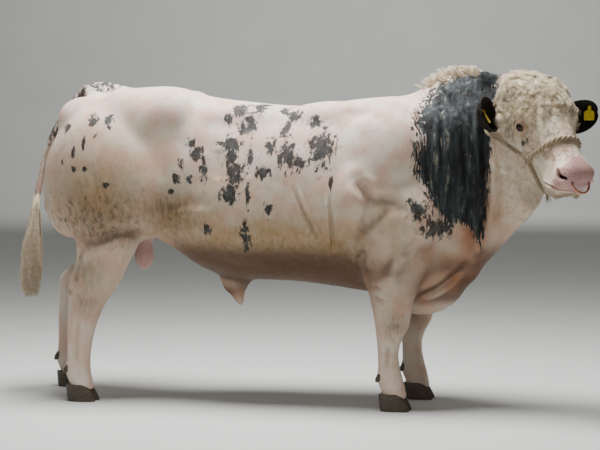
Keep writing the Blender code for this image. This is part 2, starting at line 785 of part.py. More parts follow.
def make_halter(trees, collection):
    """Headstall, noseband and chin rope as one knotted rope."""
    clearance = ROPE_RADIUS + 0.0035
    pieces = []
    for i, route in enumerate((POLL_ROUTE, NOSE_ROUTE, CHIN_ROUTE)):
        pieces.append(rope(rope_route(trees, route, clearance), ROPE_RADIUS, "rope_%d" % i, collection))
    for sign in SIDE_SIGN.values():
        knot = rope_route(trees, [(0.320, sign * 102), (0.322, sign * 103)], clearance + 0.0065)[0]
        bm = bmesh.new()
        add_ball(bm, knot, (0.015, 0.015, 0.015), None, (8, 6))
        pieces.append(object_of("knot", bm, collection))
    return union_of(pieces, "halter", collection)


def make_claws(collection):
    """Two claws and two dew claws for each foot."""
    made = []
    feet = []
    for side, sign in SIDE_SIGN.items():
        feet.append(("front_" + side, 0.500 + FORE_LEAD[side], sign * FORE_SPREAD, 0.483 - 0.064 + FORE_LEAD[side]))
        feet.append(("hind_" + side, -1.008 + HIND_LEAD[side], sign * HIND_SPREAD, -1.026 - 0.064 + HIND_LEAD[side]))
    for foot, x, y, heel in feet:
        for half, offset in (("outer", math.copysign(CLAW_SPREAD, y)), ("inner", -math.copysign(CLAW_SPREAD, y))):
            rings = []
            for z, shift, half_length, half_width in CLAW_RINGS:
                rings.append(oval(Vector((x + shift, y + offset, z)), Vector((1, 0, 0)), Vector((0, 1, 0)),
                                  half_length, half_width, half_width, 2.3, 12))
            bm = bmesh.new()
            add_loft(bm, rings)
            made.append(object_of("claw_%s_%s" % (foot, half), bm, collection))
    return made


def make_dewclaws(legs, collection):
    """A pair of dew claws behind each fetlock, seated on the leg's surface."""
    made = []
    for foot, leg in legs.items():
        tree = surface_finder(leg)
        centre = sum((v.co for v in leg.data.vertices if v.co.z < 0.2), Vector()) / max(
            1, sum(1 for v in leg.data.vertices if v.co.z < 0.2))
        for half, sign in (("right", -1), ("left", 1)):
            way = Vector((-0.86, 0.5 * sign, 0)).normalized()
            start = Vector((centre.x, centre.y, DEWCLAW_HEIGHT))
            hit = tree.ray_cast(start + way * 0.3, -way)[0]
            frame = along(hit + way * 0.0005, way)
            rings = [[frame @ Vector((reach, radius * math.cos(a), radius * 1.2 * math.sin(a)))
                      for a in [2 * math.pi * k / 8 for k in range(8)]]
                     for reach, radius in ((0.0, 0.0125), (0.008, 0.0115), (0.018, 0.0060))]
            bm = bmesh.new()
            add_loft(bm, rings)
            claw = object_of("dewclaw_%s_%s" % (foot, half), bm, collection)
            while tree.overlap(surface_finder(claw)):
                for vertex in claw.data.vertices:
                    vertex.co += way * GAP
            made.append(claw)
    return made


def make_tag(side, sign, collection):
    """A blank ear tag hanging in the cup of the ear."""
    reach, opening, _ = ear_ways(side, sign)
    down = Vector((0, 0, -1))
    down = (down - opening * down.dot(opening)).normalized()
    base = head_point(EAR_BASE[0], sign * EAR_BASE[1], EAR_BASE[2])
    reach_share, rise, depth, tilt = TAG_SEAT[side]
    top = base + reach * reach_share - down * rise + opening * depth
    down = (down + opening * tilt).normalized()
    across = opening.cross(down).normalized()
    out = down.cross(across)
    outline = [(-0.008, -0.006), (0.008, -0.006), (0.008, 0.008), (0.027, 0.022), (0.027, 0.062),
               (-0.027, 0.062), (-0.027, 0.022), (-0.008, 0.008)]
    rings = [[top + across * a + down * d + out * lift for a, d in outline] for lift in (0.0, 0.0022)]
    bm = bmesh.new()
    add_loft(bm, rings)
    plate = object_of("tag_" + side, bm, collection)
    return plate


def paint(obj, name, colour, roughness):
    """Gives the object a material of its own."""
    material = bpy.data.materials.new(name)
    material.use_nodes = True
    shader = material.node_tree.nodes["Principled BSDF"]
    shader.inputs["Base Color"].default_value = (*colour, 1.0)
    shader.inputs["Roughness"].default_value = roughness
    material.diffuse_color = (*colour, 1.0)
    obj.data.materials.clear()
    obj.data.materials.append(material)


def lock(points, widths, thick, flat_way, name, collection, corners=4):
    """A flat tapered lock of hair along points; its flat side faces the flat way."""
    rings = []
    for i, (p, width) in enumerate(zip(points, widths)):
        before, after = points[max(i - 1, 0)], points[min(i + 1, len(points) - 1)]
        frame = along(p, after - before, flat_way)
        across, up = frame.col[1].to_3d(), frame.col[2].to_3d()
        rings.append(oval(p, across, up, width, thick * width / max(widths), thick * width / max(widths),
                          2.0, corners))
    bm = bmesh.new()
    add_loft(bm, rings)
    return object_of(name, bm, collection)


def fuse_all(base, pieces):
    """Fuses a whole group of closed pieces with a node in one union."""
    group = bpy.data.collections.new("fused")
    bpy.context.scene.collection.children.link(group)
    for piece in pieces:
        group.objects.link(piece)
    join = base.modifiers.new("join", "BOOLEAN")
    join.operation = "UNION"
    join.solver = "MANIFOLD"
    join.operand_type = "COLLECTION"
    join.collection = group
    bake(base)
    for piece in pieces:
        remove(piece)
    bpy.data.collections.remove(group)
    return keep_largest(base)


def make_curls(head, cutters):
    """The rounded curls of the forehead, set close, each lying over the next."""
    chance = random.Random(CURL_SEED)
    tree = surface_finder(head)
    curls = []
    for row, (s, spread, count) in enumerate(CURL_ROWS):
        for k in range(count):
            side = spread * (2 * (k + 0.5) / count - 1) + chance.uniform(-0.006, 0.006)
            along_face = s + chance.uniform(-0.008, 0.008) + (0.02 if k % 2 else 0.0)
            hit, normal = tree.ray_cast(head_point(along_face, side, 0.4), head_way(0, 0, -1))[:2]
            drift = head_way(0.75, side * 7.0 + chance.uniform(-0.45, 0.45), 0)
            drift = (drift - normal * drift.dot(normal)).normalized()
            swing = normal.cross(drift) * chance.choice((-1, 1))
            length = chance.choice(CURL_LENGTHS)
            points = []
            for t, rise, bend in ((0.0, -CURL_SINK, 0.0), (0.32, 0.0095, 0.10), (0.72, 0.010, 0.36),
                                  (1.0, 0.001, 0.60)):
                rest = hit + drift * length * (t - 0.4) + swing * length * bend * 0.7
                place, way = tree.find_nearest(rest)[:2]
                points.append(place + way * rise)
            widths = [CURL_WIDTH * share for share in (0.75, 1.0, 0.90, 0.35)]
            curls.append(lock(points, widths, CURL_THICK, normal, "curl", cutters, 4))
    return curls


def make_tufts(neck, cutters):
    """Short tufts that stand along the crest of the neck."""
    chance = random.Random(TUFT_SEED)
    tree = surface_finder(neck)
    tufts = []
    for k in range(TUFT_COUNT):
        share = (k + 0.5) / TUFT_COUNT
        x = TUFT_SPAN[0] + (TUFT_SPAN[1] - TUFT_SPAN[0]) * share
        row = min(NECK, key=lambda section: abs(section[0] - x))
        y = row[1] + (-0.022, 0.0, 0.022)[k % 3] + chance.uniform(-0.006, 0.006)
        hit, normal = tree.ray_cast(Vector((x, y, 2.0)), Vector((0, 0, -1)))[:2]
        lean = Vector((chance.uniform(-0.9, 0.5), chance.uniform(-0.35, 0.35), 0))
        length = chance.choice(TUFT_LENGTHS)
        points = [hit - normal * 0.010]
        for t in (0.3, 0.65, 1.0):
            points.append(hit + normal * length * (t - 0.32 * t * t) + lean * length * t * t * 0.8)
        widths = [TUFT_WIDTH * w for w in (0.9, 1.0, 0.75, 0.18)]
        tufts.append(lock(points, widths, 0.007, Vector((0, 1, 0.1)), "tuft", cutters))
    return tufts


def make_switch(collection, cutters):
    """The hair at the end of the tail: a thin core and flat bent locks round it."""
    end, before = TAIL[-1], TAIL[-2]
    way = Vector((end[0] - before[0], 0, end[1] - before[1])).normalized()
    start = Vector((end[0], 0, end[1])) + way * 2 * GAP
    core = smooth_rows([(start.x, start.z, 0.0235, 0.0235)] + SWITCH, 2)
    rings = []
    for i, (x, z, depth, width) in enumerate(core):
        if i:
            after = core[min(i + 1, len(core) - 1)]
            way = Vector((after[0] - core[i - 1][0], 0, after[1] - core[i - 1][1])).normalized()
        slim = 1.0 if i < 2 else 0.62
        rings.append(oval(Vector((x, 0, z)), Vector((0, 1, 0)), Vector((0, 1, 0)).cross(way),
                          width * slim, depth * slim, depth * slim, 2.0, 10))
    bm = bmesh.new()
    add_loft(bm, rings)
    switch = object_of("tail_switch", bm, collection)
    chance = random.Random(SWITCH_SEED)
    levels = np.array(core)
    order = np.argsort(levels[:, 1])
    locks = []
    for k in range(SWITCH_LOCKS):
        turn = 2.399963 * k
        length = chance.choice(SWITCH_LENGTHS)
        top = 0.865 - 0.215 * (k + 0.5) / SWITCH_LOCKS
        side = Vector((math.cos(turn), math.sin(turn), 0))
        sway = side.cross(Vector((0, 0, 1))) * chance.uniform(-0.016, 0.016)
        points = []
        steps = 5
        for j in range(steps):
            t = j / (steps - 1)
            z = max(top - length * t, 0.452 + 0.03 * chance.random() * (1 - t))
            x = np.interp(z, levels[order, 1], levels[order, 0])
            depth = np.interp(z, levels[order, 1], levels[order, 2])
            width = np.interp(z, levels[order, 1], levels[order, 3])
            reach = 0.35 + 0.75 * math.sin(math.pi * min(1.0, 0.15 + 0.70 * t))
            points.append(Vector((x + side.x * depth * reach, side.y * width * reach, z))
                          + sway * math.sin(2.5 * t) - Vector((0, 0, 0.003 * j)))
        widths = [SWITCH_LOCK_WIDTH * w for w in (0.6, 1.0, 1.05, 0.75, 0.12)]
        locks.append(lock(points, widths, SWITCH_LOCK_THICK, side, "lock", cutters))
    return fuse_all(switch, locks)


COLOURS = {
    "coat": (0.80, 0.74, 0.66),
    "dark": (0.10, 0.10, 0.11),
    "horn": (0.16, 0.13, 0.10),
    "eye": (0.03, 0.02, 0.02),
    "copper": (0.72, 0.38, 0.26),
    "rope": (0.50, 0.41, 0.29),
    "tag": (0.80, 0.66, 0.06),
    "hair": (0.82, 0.76, 0.64),
    "skin": (0.62, 0.42, 0.34),
}


def main():
    """Builds the bull and parts it into nodes."""
    clear_scene()
    parts = bpy.data.collections.new("belgian_blue_bull")
    cutters = bpy.data.collections.new("cutters")
    bpy.context.scene.collection.children.link(parts)
    bpy.context.scene.collection.children.link(cutters)
    nodes = {}

    flesh = body_flesh(parts)
    head = head_flesh(parts)
    skin = [surface_finder(head), surface_finder(flesh)]

    # head and neck meet on a plane that leans with the back of the jaw
    heading = Vector((math.cos(SEAM_HEADING), math.sin(SEAM_HEADING), 0))
    seam = along(HEAD_SEAM, heading * math.cos(SEAM_LEAN) + Vector((0, 0, -math.sin(SEAM_LEAN))))
    carve(head, box("cutter", (GAP, -0.32, -0.62), (1.0, 0.32, 0.5), cutters, seam), "INTERSECT")
    carve(flesh, box("cutter", (0.0, -0.32, -0.62 - GAP), (1.0, 0.32, 0.5), cutters, seam), "DIFFERENCE")

    # tail, at the place where it leaves the rump
    tail_rows = smooth_rows(TAIL, 3)
    cut_index = min(range(len(tail_rows)), key=lambda i: abs(tail_rows[i][0] - TAIL_CUT_X))
    here, there = tail_rows[cut_index], tail_rows[cut_index + 1]
    tail_way = Vector((there[0] - here[0], 0, there[1] - here[1])).normalized()
    tail_seam = along(Vector((here[0], 0, here[1])), tail_way)
    carve(flesh, box("cutter", (0, -0.1, -0.07), (0.9, 0.1, 0.12), cutters, tail_seam), "DIFFERENCE")
    bm = bmesh.new()
    add_tail(bm, TAIL)
    nodes["tail"] = object_of("tail", bm, parts)
    carve(nodes["tail"], box("cutter", (GAP, -0.1, -0.1), (0.9, 0.1, 0.6), cutters, tail_seam), "INTERSECT")
    nodes["tail_switch"] = make_switch(parts, cutters)

    # legs, scrotum, quarters, neck
    legs = {}
    for side, sign in SIDE_SIGN.items():
        inner, outer = sorted((sign * 0.1, sign * 0.6))
        legs["front_" + side] = part_off(flesh, "leg_front_" + side, (0.325, inner, -0.1), (0.66, outer, 0.70), cutters)
        legs["hind_" + side] = part_off(flesh, "leg_hind_" + side, (-1.6, inner, -0.1), (-0.66, outer, 0.76), cutters)
    nodes["scrotum"] = part_off(flesh, "scrotum", (-0.92, -0.0997, 0.1), (-0.66, 0.0997, 0.755), cutters)
    nodes["hindquarters"] = part_off(flesh, "hindquarters", (-1.6, -0.8, 0.1), (-0.60, 0.8, 1.8), cutters)
    shoulder_seam = along(Vector((0.60, 0, 1.47)), Vector((0.95, 0, 0.313)))
    nodes["neck"] = part_off(flesh, "neck", (0, -0.8, -1.2), (1.5, 0.8, 0.6), cutters, shoulder_seam)
    flesh.name = "torso"
    flesh.data.name = "torso"
    nodes["torso"] = flesh
    fuse_all(nodes["neck"], make_tufts(nodes["neck"], cutters))
    for foot, leg in legs.items():
        carve(leg, box("cutter", (-2, -1, -0.5), (2, 1, HAIR_LINE), cutters), "DIFFERENCE")
        nodes["leg_" + foot] = leg

    # the head's own details
    head.name = "head"
    head.data.name = "head"
    for side, sign in SIDE_SIGN.items():
        seat = along(head_point(EAR_BASE[0], sign * EAR_BASE[1], EAR_BASE[2]), ear_ways(side, sign)[0])
        carve(head, plug(seat, 0.046, 0.09, cutters), "DIFFERENCE")
        union_of([head, make_lids(side, sign, cutters)], "head", parts)
        carve(head, make_eye(side, sign, EYE_RADIUS + GAP, cutters, "hollow"), "DIFFERENCE")
        carve(head, nostril_cutter(sign, cutters), "DIFFERENCE")
        nodes["ear_" + side] = make_ear(side, sign, parts)
        nodes["eye_" + side] = make_eye(side, sign, EYE_RADIUS, parts, "eye_" + side)
        nodes["tag_" + side] = make_tag(side, sign, parts)
    carve(head, mouth_cutter(cutters), "DIFFERENCE")
    carve(head, make_ring("hole", RING_THICK + 0.0005, cutters), "DIFFERENCE")
    nodes["head"] = fuse_all(head, make_curls(head, cutters))
    nodes["nose_ring"] = make_ring("nose_ring", RING_THICK, parts)
    nodes["halter"] = make_halter(skin, parts)

    for claw in make_claws(parts) + make_dewclaws(legs, parts):
        nodes[claw.name] = claw

    looks = {"ear": ("dark", 0.8), "eye": ("eye", 0.1), "claw": ("horn", 0.5), "dewclaw": ("horn", 0.6),
             "tag": ("tag", 0.4), "nose_ring": ("copper", 0.3), "halter": ("rope", 0.9), "tail_switch": ("hair", 0.8),
             "scrotum": ("skin", 0.7), "tail": ("coat", 0.8)}
    for name, obj in nodes.items():
        key = next((k for k in looks if name == k or name.startswith(k + "_")), None)
        shade, roughness = looks[key] if key else ("coat", 0.8)
        paint(obj, name, COLOURS[shade], roughness)
        for vertex in obj.data.vertices:
            vertex.co += CENTRE_SHIFT
        obj.data.update()
    bpy.data.collections.remove(cutters)


main()
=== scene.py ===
"""Looks of a still, life-size Belgian Blue bull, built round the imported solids.

One skin covers the flesh of the whole animal. Muscles, folds, lids, nostrils and lips are raised or
pressed into it, the markings are laid over it, and tufts of hair grow from it. Metres, +Z up, +X points
to the head, +Y to the animal's left.
"""

import logging
import math
from dataclasses import dataclass, field, replace
from enum import Enum
from typing import Any, Callable, Dict, List, Optional, Sequence, Tuple, Union

import bmesh
import bpy
import numpy as np
from mathutils import Matrix, Vector
from mathutils.bvhtree import BVHTree


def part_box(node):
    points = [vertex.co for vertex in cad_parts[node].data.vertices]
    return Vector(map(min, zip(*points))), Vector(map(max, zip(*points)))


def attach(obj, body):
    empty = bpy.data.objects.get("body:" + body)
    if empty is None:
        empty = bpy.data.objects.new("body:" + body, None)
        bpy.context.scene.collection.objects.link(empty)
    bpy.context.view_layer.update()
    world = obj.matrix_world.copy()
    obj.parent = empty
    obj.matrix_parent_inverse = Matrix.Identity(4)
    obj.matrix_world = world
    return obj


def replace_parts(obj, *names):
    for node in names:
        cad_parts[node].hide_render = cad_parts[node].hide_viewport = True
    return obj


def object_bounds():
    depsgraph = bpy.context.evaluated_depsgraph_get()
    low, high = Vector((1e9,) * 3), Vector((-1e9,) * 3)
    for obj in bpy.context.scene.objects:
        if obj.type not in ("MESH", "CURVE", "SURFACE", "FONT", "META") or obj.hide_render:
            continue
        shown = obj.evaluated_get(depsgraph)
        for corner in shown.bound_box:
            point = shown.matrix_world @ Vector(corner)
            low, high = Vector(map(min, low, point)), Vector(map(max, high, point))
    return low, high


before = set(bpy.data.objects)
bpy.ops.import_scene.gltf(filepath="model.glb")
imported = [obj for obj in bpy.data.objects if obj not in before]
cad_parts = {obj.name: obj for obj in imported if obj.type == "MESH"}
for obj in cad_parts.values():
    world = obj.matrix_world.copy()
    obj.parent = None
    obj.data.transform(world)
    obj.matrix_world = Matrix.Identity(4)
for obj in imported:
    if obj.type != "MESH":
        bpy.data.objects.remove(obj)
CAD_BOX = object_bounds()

Array = np.ndarray
Point = Tuple[float, float, float]
Socket = bpy.types.NodeSocket
Value = Union[float, str, Sequence[float], Socket]
log = logging.getLogger("bull")
SHIFT = np.array([0.0036, 0.0301, 0.0])      # brings the middle of the animal over the origin


class Side(Enum):
    """Sides of the animal; the value is the sign of Y."""

    RIGHT = -1.0
    LEFT = 1.0

    @property
    def label(self) -> str:
        """The side as names of pieces give it."""
        return self.name.lower()


# Trunk sections: X, top Z, bottom Z, half width, Z of the widest level, squareness
TRUNK = (
    (-1.11, 1.29, 0.98, 0.08, 1.14, 2.0), (-1.03, 1.4, 0.9, 0.17, 1.18, 2.1),
    (-0.92, 1.475, 0.84, 0.235, 1.18, 2.3), (-0.76, 1.495, 0.79, 0.275, 1.16, 2.4),
    (-0.6, 1.495, 0.71, 0.29, 1.13, 2.4), (-0.44, 1.45, 0.61, 0.31, 1.08, 2.3),
    (-0.25, 1.425, 0.575, 0.34, 1.03, 2.3), (0.0, 1.404, 0.568, 0.362, 1.0, 2.3),
    (0.2, 1.424, 0.545, 0.364, 1.0, 2.3), (0.36, 1.442, 0.522, 0.345, 1.0, 2.2),
    (0.52, 1.45, 0.5, 0.315, 1.0, 2.1), (0.66, 1.455, 0.505, 0.26, 1.0, 2.0),
    (0.78, 1.43, 0.57, 0.19, 1.0, 2.0),
)
# Neck sections: X, Y, heading in degrees, top Z, bottom Z, half width, Z of the widest level, squareness
NECK = (
    (0.46, 0.0, 0, 1.43, 0.6, 0.29, 1.02, 2.0), (0.58, 0.0, 0, 1.478, 0.52, 0.275, 1.02, 2.0),
    (0.68, -0.005, -4, 1.535, 0.52, 0.245, 1.04, 1.9), (0.78, -0.02, -10, 1.56, 0.575, 0.215, 1.08, 1.8),
    (0.88, -0.045, -18, 1.552, 0.65, 0.19, 1.12, 1.8), (0.97, -0.06, -27, 1.53, 0.75, 0.166, 1.18, 1.8),
    (1.05, -0.095, -37, 1.49, 0.84, 0.142, 1.22, 1.9), (1.12, -0.16, -46, 1.4, 0.92, 0.108, 1.2, 2.0),
)
# Paired muscles: centre X, distance from the middle, Z; radii along X, Y, Z; lean in degrees about Y
MUSCLES = (
    (-0.9, 0.22, 1.08, 0.262, 0.185, 0.33, 0), (-1.05, 0.18, 1.06, 0.165, 0.16, 0.3, 8),
    (-0.96, 0.15, 1.29, 0.21, 0.14, 0.15, 25), (-0.74, 0.165, 1.33, 0.24, 0.14, 0.155, 4),
    (-0.585, 0.175, 1.35, 0.14, 0.125, 0.135, 0), (-0.73, 0.205, 1.03, 0.19, 0.135, 0.27, -14),
    (-0.915, 0.225, 0.87, 0.18, 0.13, 0.15, 0), (-0.25, 0.14, 1.325, 0.35, 0.12, 0.09, 2),
    (0.18, 0.14, 1.325, 0.28, 0.125, 0.1, -3), (-0.16, 0.215, 0.96, 0.36, 0.15, 0.31, 0),
    (0.44, 0.24, 1.16, 0.2, 0.13, 0.23, 12), (0.43, 0.14, 1.325, 0.21, 0.13, 0.11, 0),
    (0.19, 0.27, 0.985, 0.16, 0.105, 0.21, 28), (0.345, 0.28, 1.0, 0.15, 0.112, 0.18, 20),
    (0.56, 0.24, 0.9, 0.15, 0.12, 0.185, -20), (0.47, 0.245, 0.74, 0.155, 0.11, 0.155, 0),
    (0.7, 0.135, 1.2, 0.21, 0.12, 0.22, 35),
)
# Masses on the middle line: centre X, Y, Z; radii; lean
MIDDLE_MASSES = (
    (0.6, 0.0, 0.59, 0.21, 0.17, 0.17, -12), (0.73, 0.0, 0.76, 0.165, 0.19, 0.19, 0),
    (0.77, -0.01, 0.63, 0.12, 0.1, 0.08, -35), (-0.318, 0.0, 0.568, 0.08, 0.058, 0.075, -30),
    (-0.302, 0.0, 0.492, 0.036, 0.034, 0.062, -15), (-0.776, 0.0, 0.765, 0.046, 0.05, 0.07, 0),
    (-0.776, 0.0, 0.678, 0.057, 0.056, 0.08, 0), (-1.0, 0.0, 1.44, 0.11, 0.1, 0.045, 40),
)
# Leg sections, from the body down: Z, middle X, half length, half width
FORE_LEG = (
    (0.82, 0.5, 0.15, 0.11), (0.73, 0.495, 0.16, 0.108), (0.64, 0.497, 0.147, 0.1),
    (0.55, 0.488, 0.118, 0.086), (0.46, 0.489, 0.098, 0.074), (0.385, 0.489, 0.084, 0.07),
    (0.327, 0.476, 0.064, 0.057), (0.265, 0.47, 0.053, 0.047), (0.19, 0.476, 0.057, 0.048),
    (0.13, 0.483, 0.066, 0.058), (0.085, 0.498, 0.06, 0.06), (0.05, 0.505, 0.06, 0.06),
)
HIND_LEG = (
    (0.86, -0.87, 0.16, 0.11), (0.76, -0.872, 0.158, 0.105), (0.68, -0.89, 0.138, 0.092),
    (0.62, -0.918, 0.134, 0.08), (0.565, -0.94, 0.138, 0.07), (0.51, -0.965, 0.117, 0.062),
    (0.46, -0.982, 0.1, 0.057), (0.39, -1.0, 0.084, 0.05), (0.3, -1.015, 0.069, 0.045),
    (0.2, -1.023, 0.062, 0.045), (0.13, -1.026, 0.066, 0.056), (0.085, -1.01, 0.06, 0.06),
    (0.05, -1.003, 0.06, 0.06),
)
FORE_SPREAD, HIND_SPREAD = 0.215, 0.245
FORE_LEAD = {Side.RIGHT: 0.0, Side.LEFT: 0.03}
HIND_LEAD = {Side.RIGHT: 0.0, Side.LEFT: -0.235}
THIGH_LEAD = {Side.RIGHT: 0.0, Side.LEFT: -0.03}
# Tail: X, Z, radius
TAIL = (
    (-0.86, 1.462, 0.04), (-0.95, 1.48, 0.044), (-1.03, 1.479, 0.044), (-1.137, 1.402, 0.04),
    (-1.23, 1.262, 0.033), (-1.276, 1.163, 0.029), (-1.307, 1.06, 0.026), (-1.331, 0.918, 0.024),
    (-1.34, 0.84, 0.019), (-1.35, 0.76, 0.01),
)

# Head frame: poll, turn to the right, nose down; X runs from poll to muzzle, Y to the left, Z out of the forehead
POLL = np.array([1.088, -0.100, 1.463])
HEAD_TURN = np.array((Matrix.Rotation(math.radians(-49.0), 3, "Z") @ Matrix.Rotation(math.radians(36.7), 3, "Y")))
# Head sections: S, top, bottom, half width, widest level, squareness
SKULL = (
    (-0.12, 0.02, -0.28, 0.125, -0.12, 2.1), (-0.05, 0.065, -0.32, 0.142, -0.1, 2.2),
    (0.02, 0.088, -0.335, 0.152, -0.08, 2.3), (0.09, 0.098, -0.345, 0.16, -0.06, 2.4),
    (0.16, 0.09, -0.345, 0.162, -0.05, 2.4), (0.22, 0.07, -0.335, 0.15, -0.05, 2.3),
    (0.29, 0.045, -0.305, 0.122, -0.07, 2.3), (0.36, 0.026, -0.275, 0.098, -0.09, 2.3),
    (0.43, 0.01, -0.25, 0.086, -0.1, 2.3), (0.485, 0.0, -0.218, 0.092, -0.1, 2.4),
    (0.53, -0.01, -0.178, 0.096, -0.09, 2.5), (0.563, -0.026, -0.14, 0.082, -0.082, 2.3),
    (0.585, -0.055, -0.108, 0.044, -0.08, 2.0),
)
HEAD_MASSES = (
    (0.14, 0.1, -0.19, 0.13, 0.058, 0.12, -12), (0.19, 0.12, 0.008, 0.07, 0.034, 0.036, 10),
    (0.06, 0.08, 0.015, 0.11, 0.075, 0.075, 0), (0.52, 0.055, -0.06, 0.052, 0.04, 0.038, 20),
    (0.475, 0.05, -0.152, 0.08, 0.042, 0.048, 8), (0.09, 0.14, -0.105, 0.048, 0.048, 0.048, 0),
)
EAR_BASE = (0.090, 0.168, -0.105)
EAR_REACH = {Side.RIGHT: (0.35, 0.68, 0.64), Side.LEFT: (0.00, 0.97, 0.23)}
EAR_OPENING = {Side.RIGHT: (0.48, -0.65, 0.59), Side.LEFT: (0.89, -0.15, 0.42)}
EAR_LENGTH = 0.221
# Seat of each tag in its ear: along the ear, up, out of the cup, and lean out of it
TAG_SEAT = {Side.RIGHT: (0.125, 0.012, -0.034, 0.40), Side.LEFT: (0.170, 0.030, -0.033, 0.20)}
EYE_RADIUS = 0.0215
EYE_PLACE = (0.222, 0.138, -0.034)
EYE_HALF, EYE_OPEN = 0.0208, (0.0176, 0.0138)      # half length of the opening, height of its arches
EYE_GAZE = (0.60, 0.79, 0.06)
NOSTRIL = ((0.508, 0.094, -0.052), (0.526, 0.096, -0.066), (0.545, 0.088, -0.070), (0.560, 0.070, -0.063))
MOUTH = ((0.440, 0.086, -0.178), (0.458, 0.088, -0.170), (0.490, 0.094, -0.157), (0.524, 0.086, -0.142),
         (0.552, 0.058, -0.131), (0.567, 0.022, -0.127), (0.569, 0.0, -0.126))

# Halter routes: S and the angle round the head from its top, positive to the left
NOSE_ROUTE = ((0.322, -100), (0.345, -75), (0.372, -40), (0.386, 0), (0.372, 40), (0.345, 75), (0.322, 100))
CHIN_ROUTE = ((0.323, -104), (0.375, -125), (0.430, -150), (0.452, 180), (0.430, 150), (0.375, 125), (0.323, 104))
POLL_ROUTE = ((0.320, -102), (0.210, -103), (0.140, -105), (0.085, -106), (0.045, -96), (0.025, -70), (0.015, -35),
              (0.012, 0), (0.015, 35), (0.025, 70), (0.045, 96), (0.085, 106), (0.140, 105), (0.210, 103),
              (0.320, 102))


@dataclass(frozen=True)
class Fold:
    """A line pressed into the skin, or raised where the depth is negative.

    The points are in millimetres, with the Y of the right side; width and depth are in metres.
    """

    points: Sequence[Point]
    width: float
    depth: float
    sides: Tuple[float, ...] = (-1.0, 1.0)


@dataclass(frozen=True)
class Swell:
    """A round rise or hollow of the skin: place, radii and height."""

    centre: Point
    radii: Point
    height: float
    lean: float = 0.0


FOLDS = (
    # shoulder, upper arm and the muscle behind it
    Fold([(345, -380, 1062), (400, -379, 1008), (434, -364, 981), (512, -342, 967), (551, -353, 937),
          (587, -352, 901)], 0.026, 0.015),
    Fold([(372, -377, 1071), (409, -376, 981), (405, -357, 908), (362, -327, 825)], 0.026, 0.013),
    Fold([(348, -326, 816), (400, -333, 862), (456, -335, 908), (514, -350, 936)], 0.022, 0.012),
    Fold([(548, -336, 738), (502, -332, 655), (487, -306, 589)], 0.02, 0.007),
    Fold([(637, -325, 810), (582, -320, 746), (539, -338, 738)], 0.018, 0.006),
    Fold([(248, -239, 1378), (355, -259, 1364), (470, -320, 1332)], 0.03, 0.006),
    Fold([(590, -131, 1424), (587, -234, 1332), (626, -274, 1223), (643, -262, 1106),
          (651, -278, 1016)], 0.016, -0.006),
    # loose skin behind the shoulder
    Fold([(62, -362, 1023), (99, -361, 932), (143, -350, 851), (169, -338, 805)], 0.01, 0.008),
    Fold([(75, -362, 1023), (113, -361, 932), (157, -350, 851), (183, -338, 805)], 0.009, -0.005),
    Fold([(232, -371, 988), (233, -355, 879), (233, -312, 740)], 0.009, 0.006),
    Fold([(219, -371, 988), (219, -355, 879), (219, -312, 740)], 0.008, -0.006),
    Fold([(381, -331, 753), (367, -309, 678), (392, -273, 585)], 0.02, 0.014),
    Fold([(355, -310, 730), (335, -290, 650), (340, -250, 580)], 0.01, 0.006),
    # brisket
    Fold([(606, -150, 515), (697, -140, 562), (767, -118, 617), (807, -133, 665)], 0.016, 0.01),
    Fold([(808, -201, 901), (839, -169, 809), (851, -120, 701)], 0.018, 0.007),
    # thigh, flank and rump
    Fold([(-978, -329, 798), (-929, -341, 767), (-852, -348, 782), (-779, -333, 806),
          (-689, -279, 813)], 0.026, 0.018),
    Fold([(-895, -401, 1101), (-882, -397, 1017), (-863, -384, 952)], 0.02, 0.005),
    Fold([(-665, -276, 818), (-593, -269, 861), (-512, -278, 900), (-343, -339, 909)], 0.022, -0.008),
    Fold([(-308, -309, 1203), (-299, -343, 1052)], 0.03, 0.006),
    Fold([(-183, -278, 1286), (-152, -354, 1058)], 0.026, 0.003),
    Fold([(-42, -306, 1241), (-19, -359, 1013)], 0.026, 0.003),
    # legs
    Fold([(-969, -328, 756), (-1007, -294, 663), (-1020, -300, 564)], 0.018, 0.014),
    Fold([(-1008, -296, 412), (-1022, -287, 269), (-1026, -290, 174)], 0.012, 0.008),
    Fold([(533, -276, 415), (492, -281, 378), (515, -255, 321)], 0.013, 0.007),
    Fold([(480, -265, 307), (474, -259, 192)], 0.011, 0.008),
    Fold([(409, -284, 577), (453, -296, 551)], 0.007, 0.004),
    Fold([(417, -277, 522), (470, -290, 497)], 0.007, 0.004),
    # folds where the neck bends to the right
    Fold([(687, -252, 1214), (682, -247, 1042)], 0.01, 0.006, (-1.0,)),
    Fold([(750, -247, 1214), (756, -221, 970)], 0.01, 0.008, (-1.0,)),
    Fold([(789, -213, 1332), (828, -221, 1061), (842, -188, 878), (870, -127, 739)], 0.012, 0.01, (-1.0,)),
    Fold([(893, -170, 1348), (907, -203, 1106), (894, -167, 878), (871, -137, 762)], 0.016, 0.022, (-1.0,)),
    Fold([(925, -203, 1241), (934, -200, 1106), (921, -164, 901)], 0.012, 0.012, (-1.0,)),
    Fold([(839, -180, 1377), (863, -213, 1196), (870, -196, 970)], 0.011, 0.009, (-1.0,)),
    Fold([(705, -202, 1377), (719, -251, 1241), (712, -238, 1060), (721, -230, 902)], 0.012, 0.007, (-1.0,)),
    Fold([(971, -208, 1151), (978, -188, 1016), (963, -139, 855)], 0.014, 0.008, (-1.0,)),
)
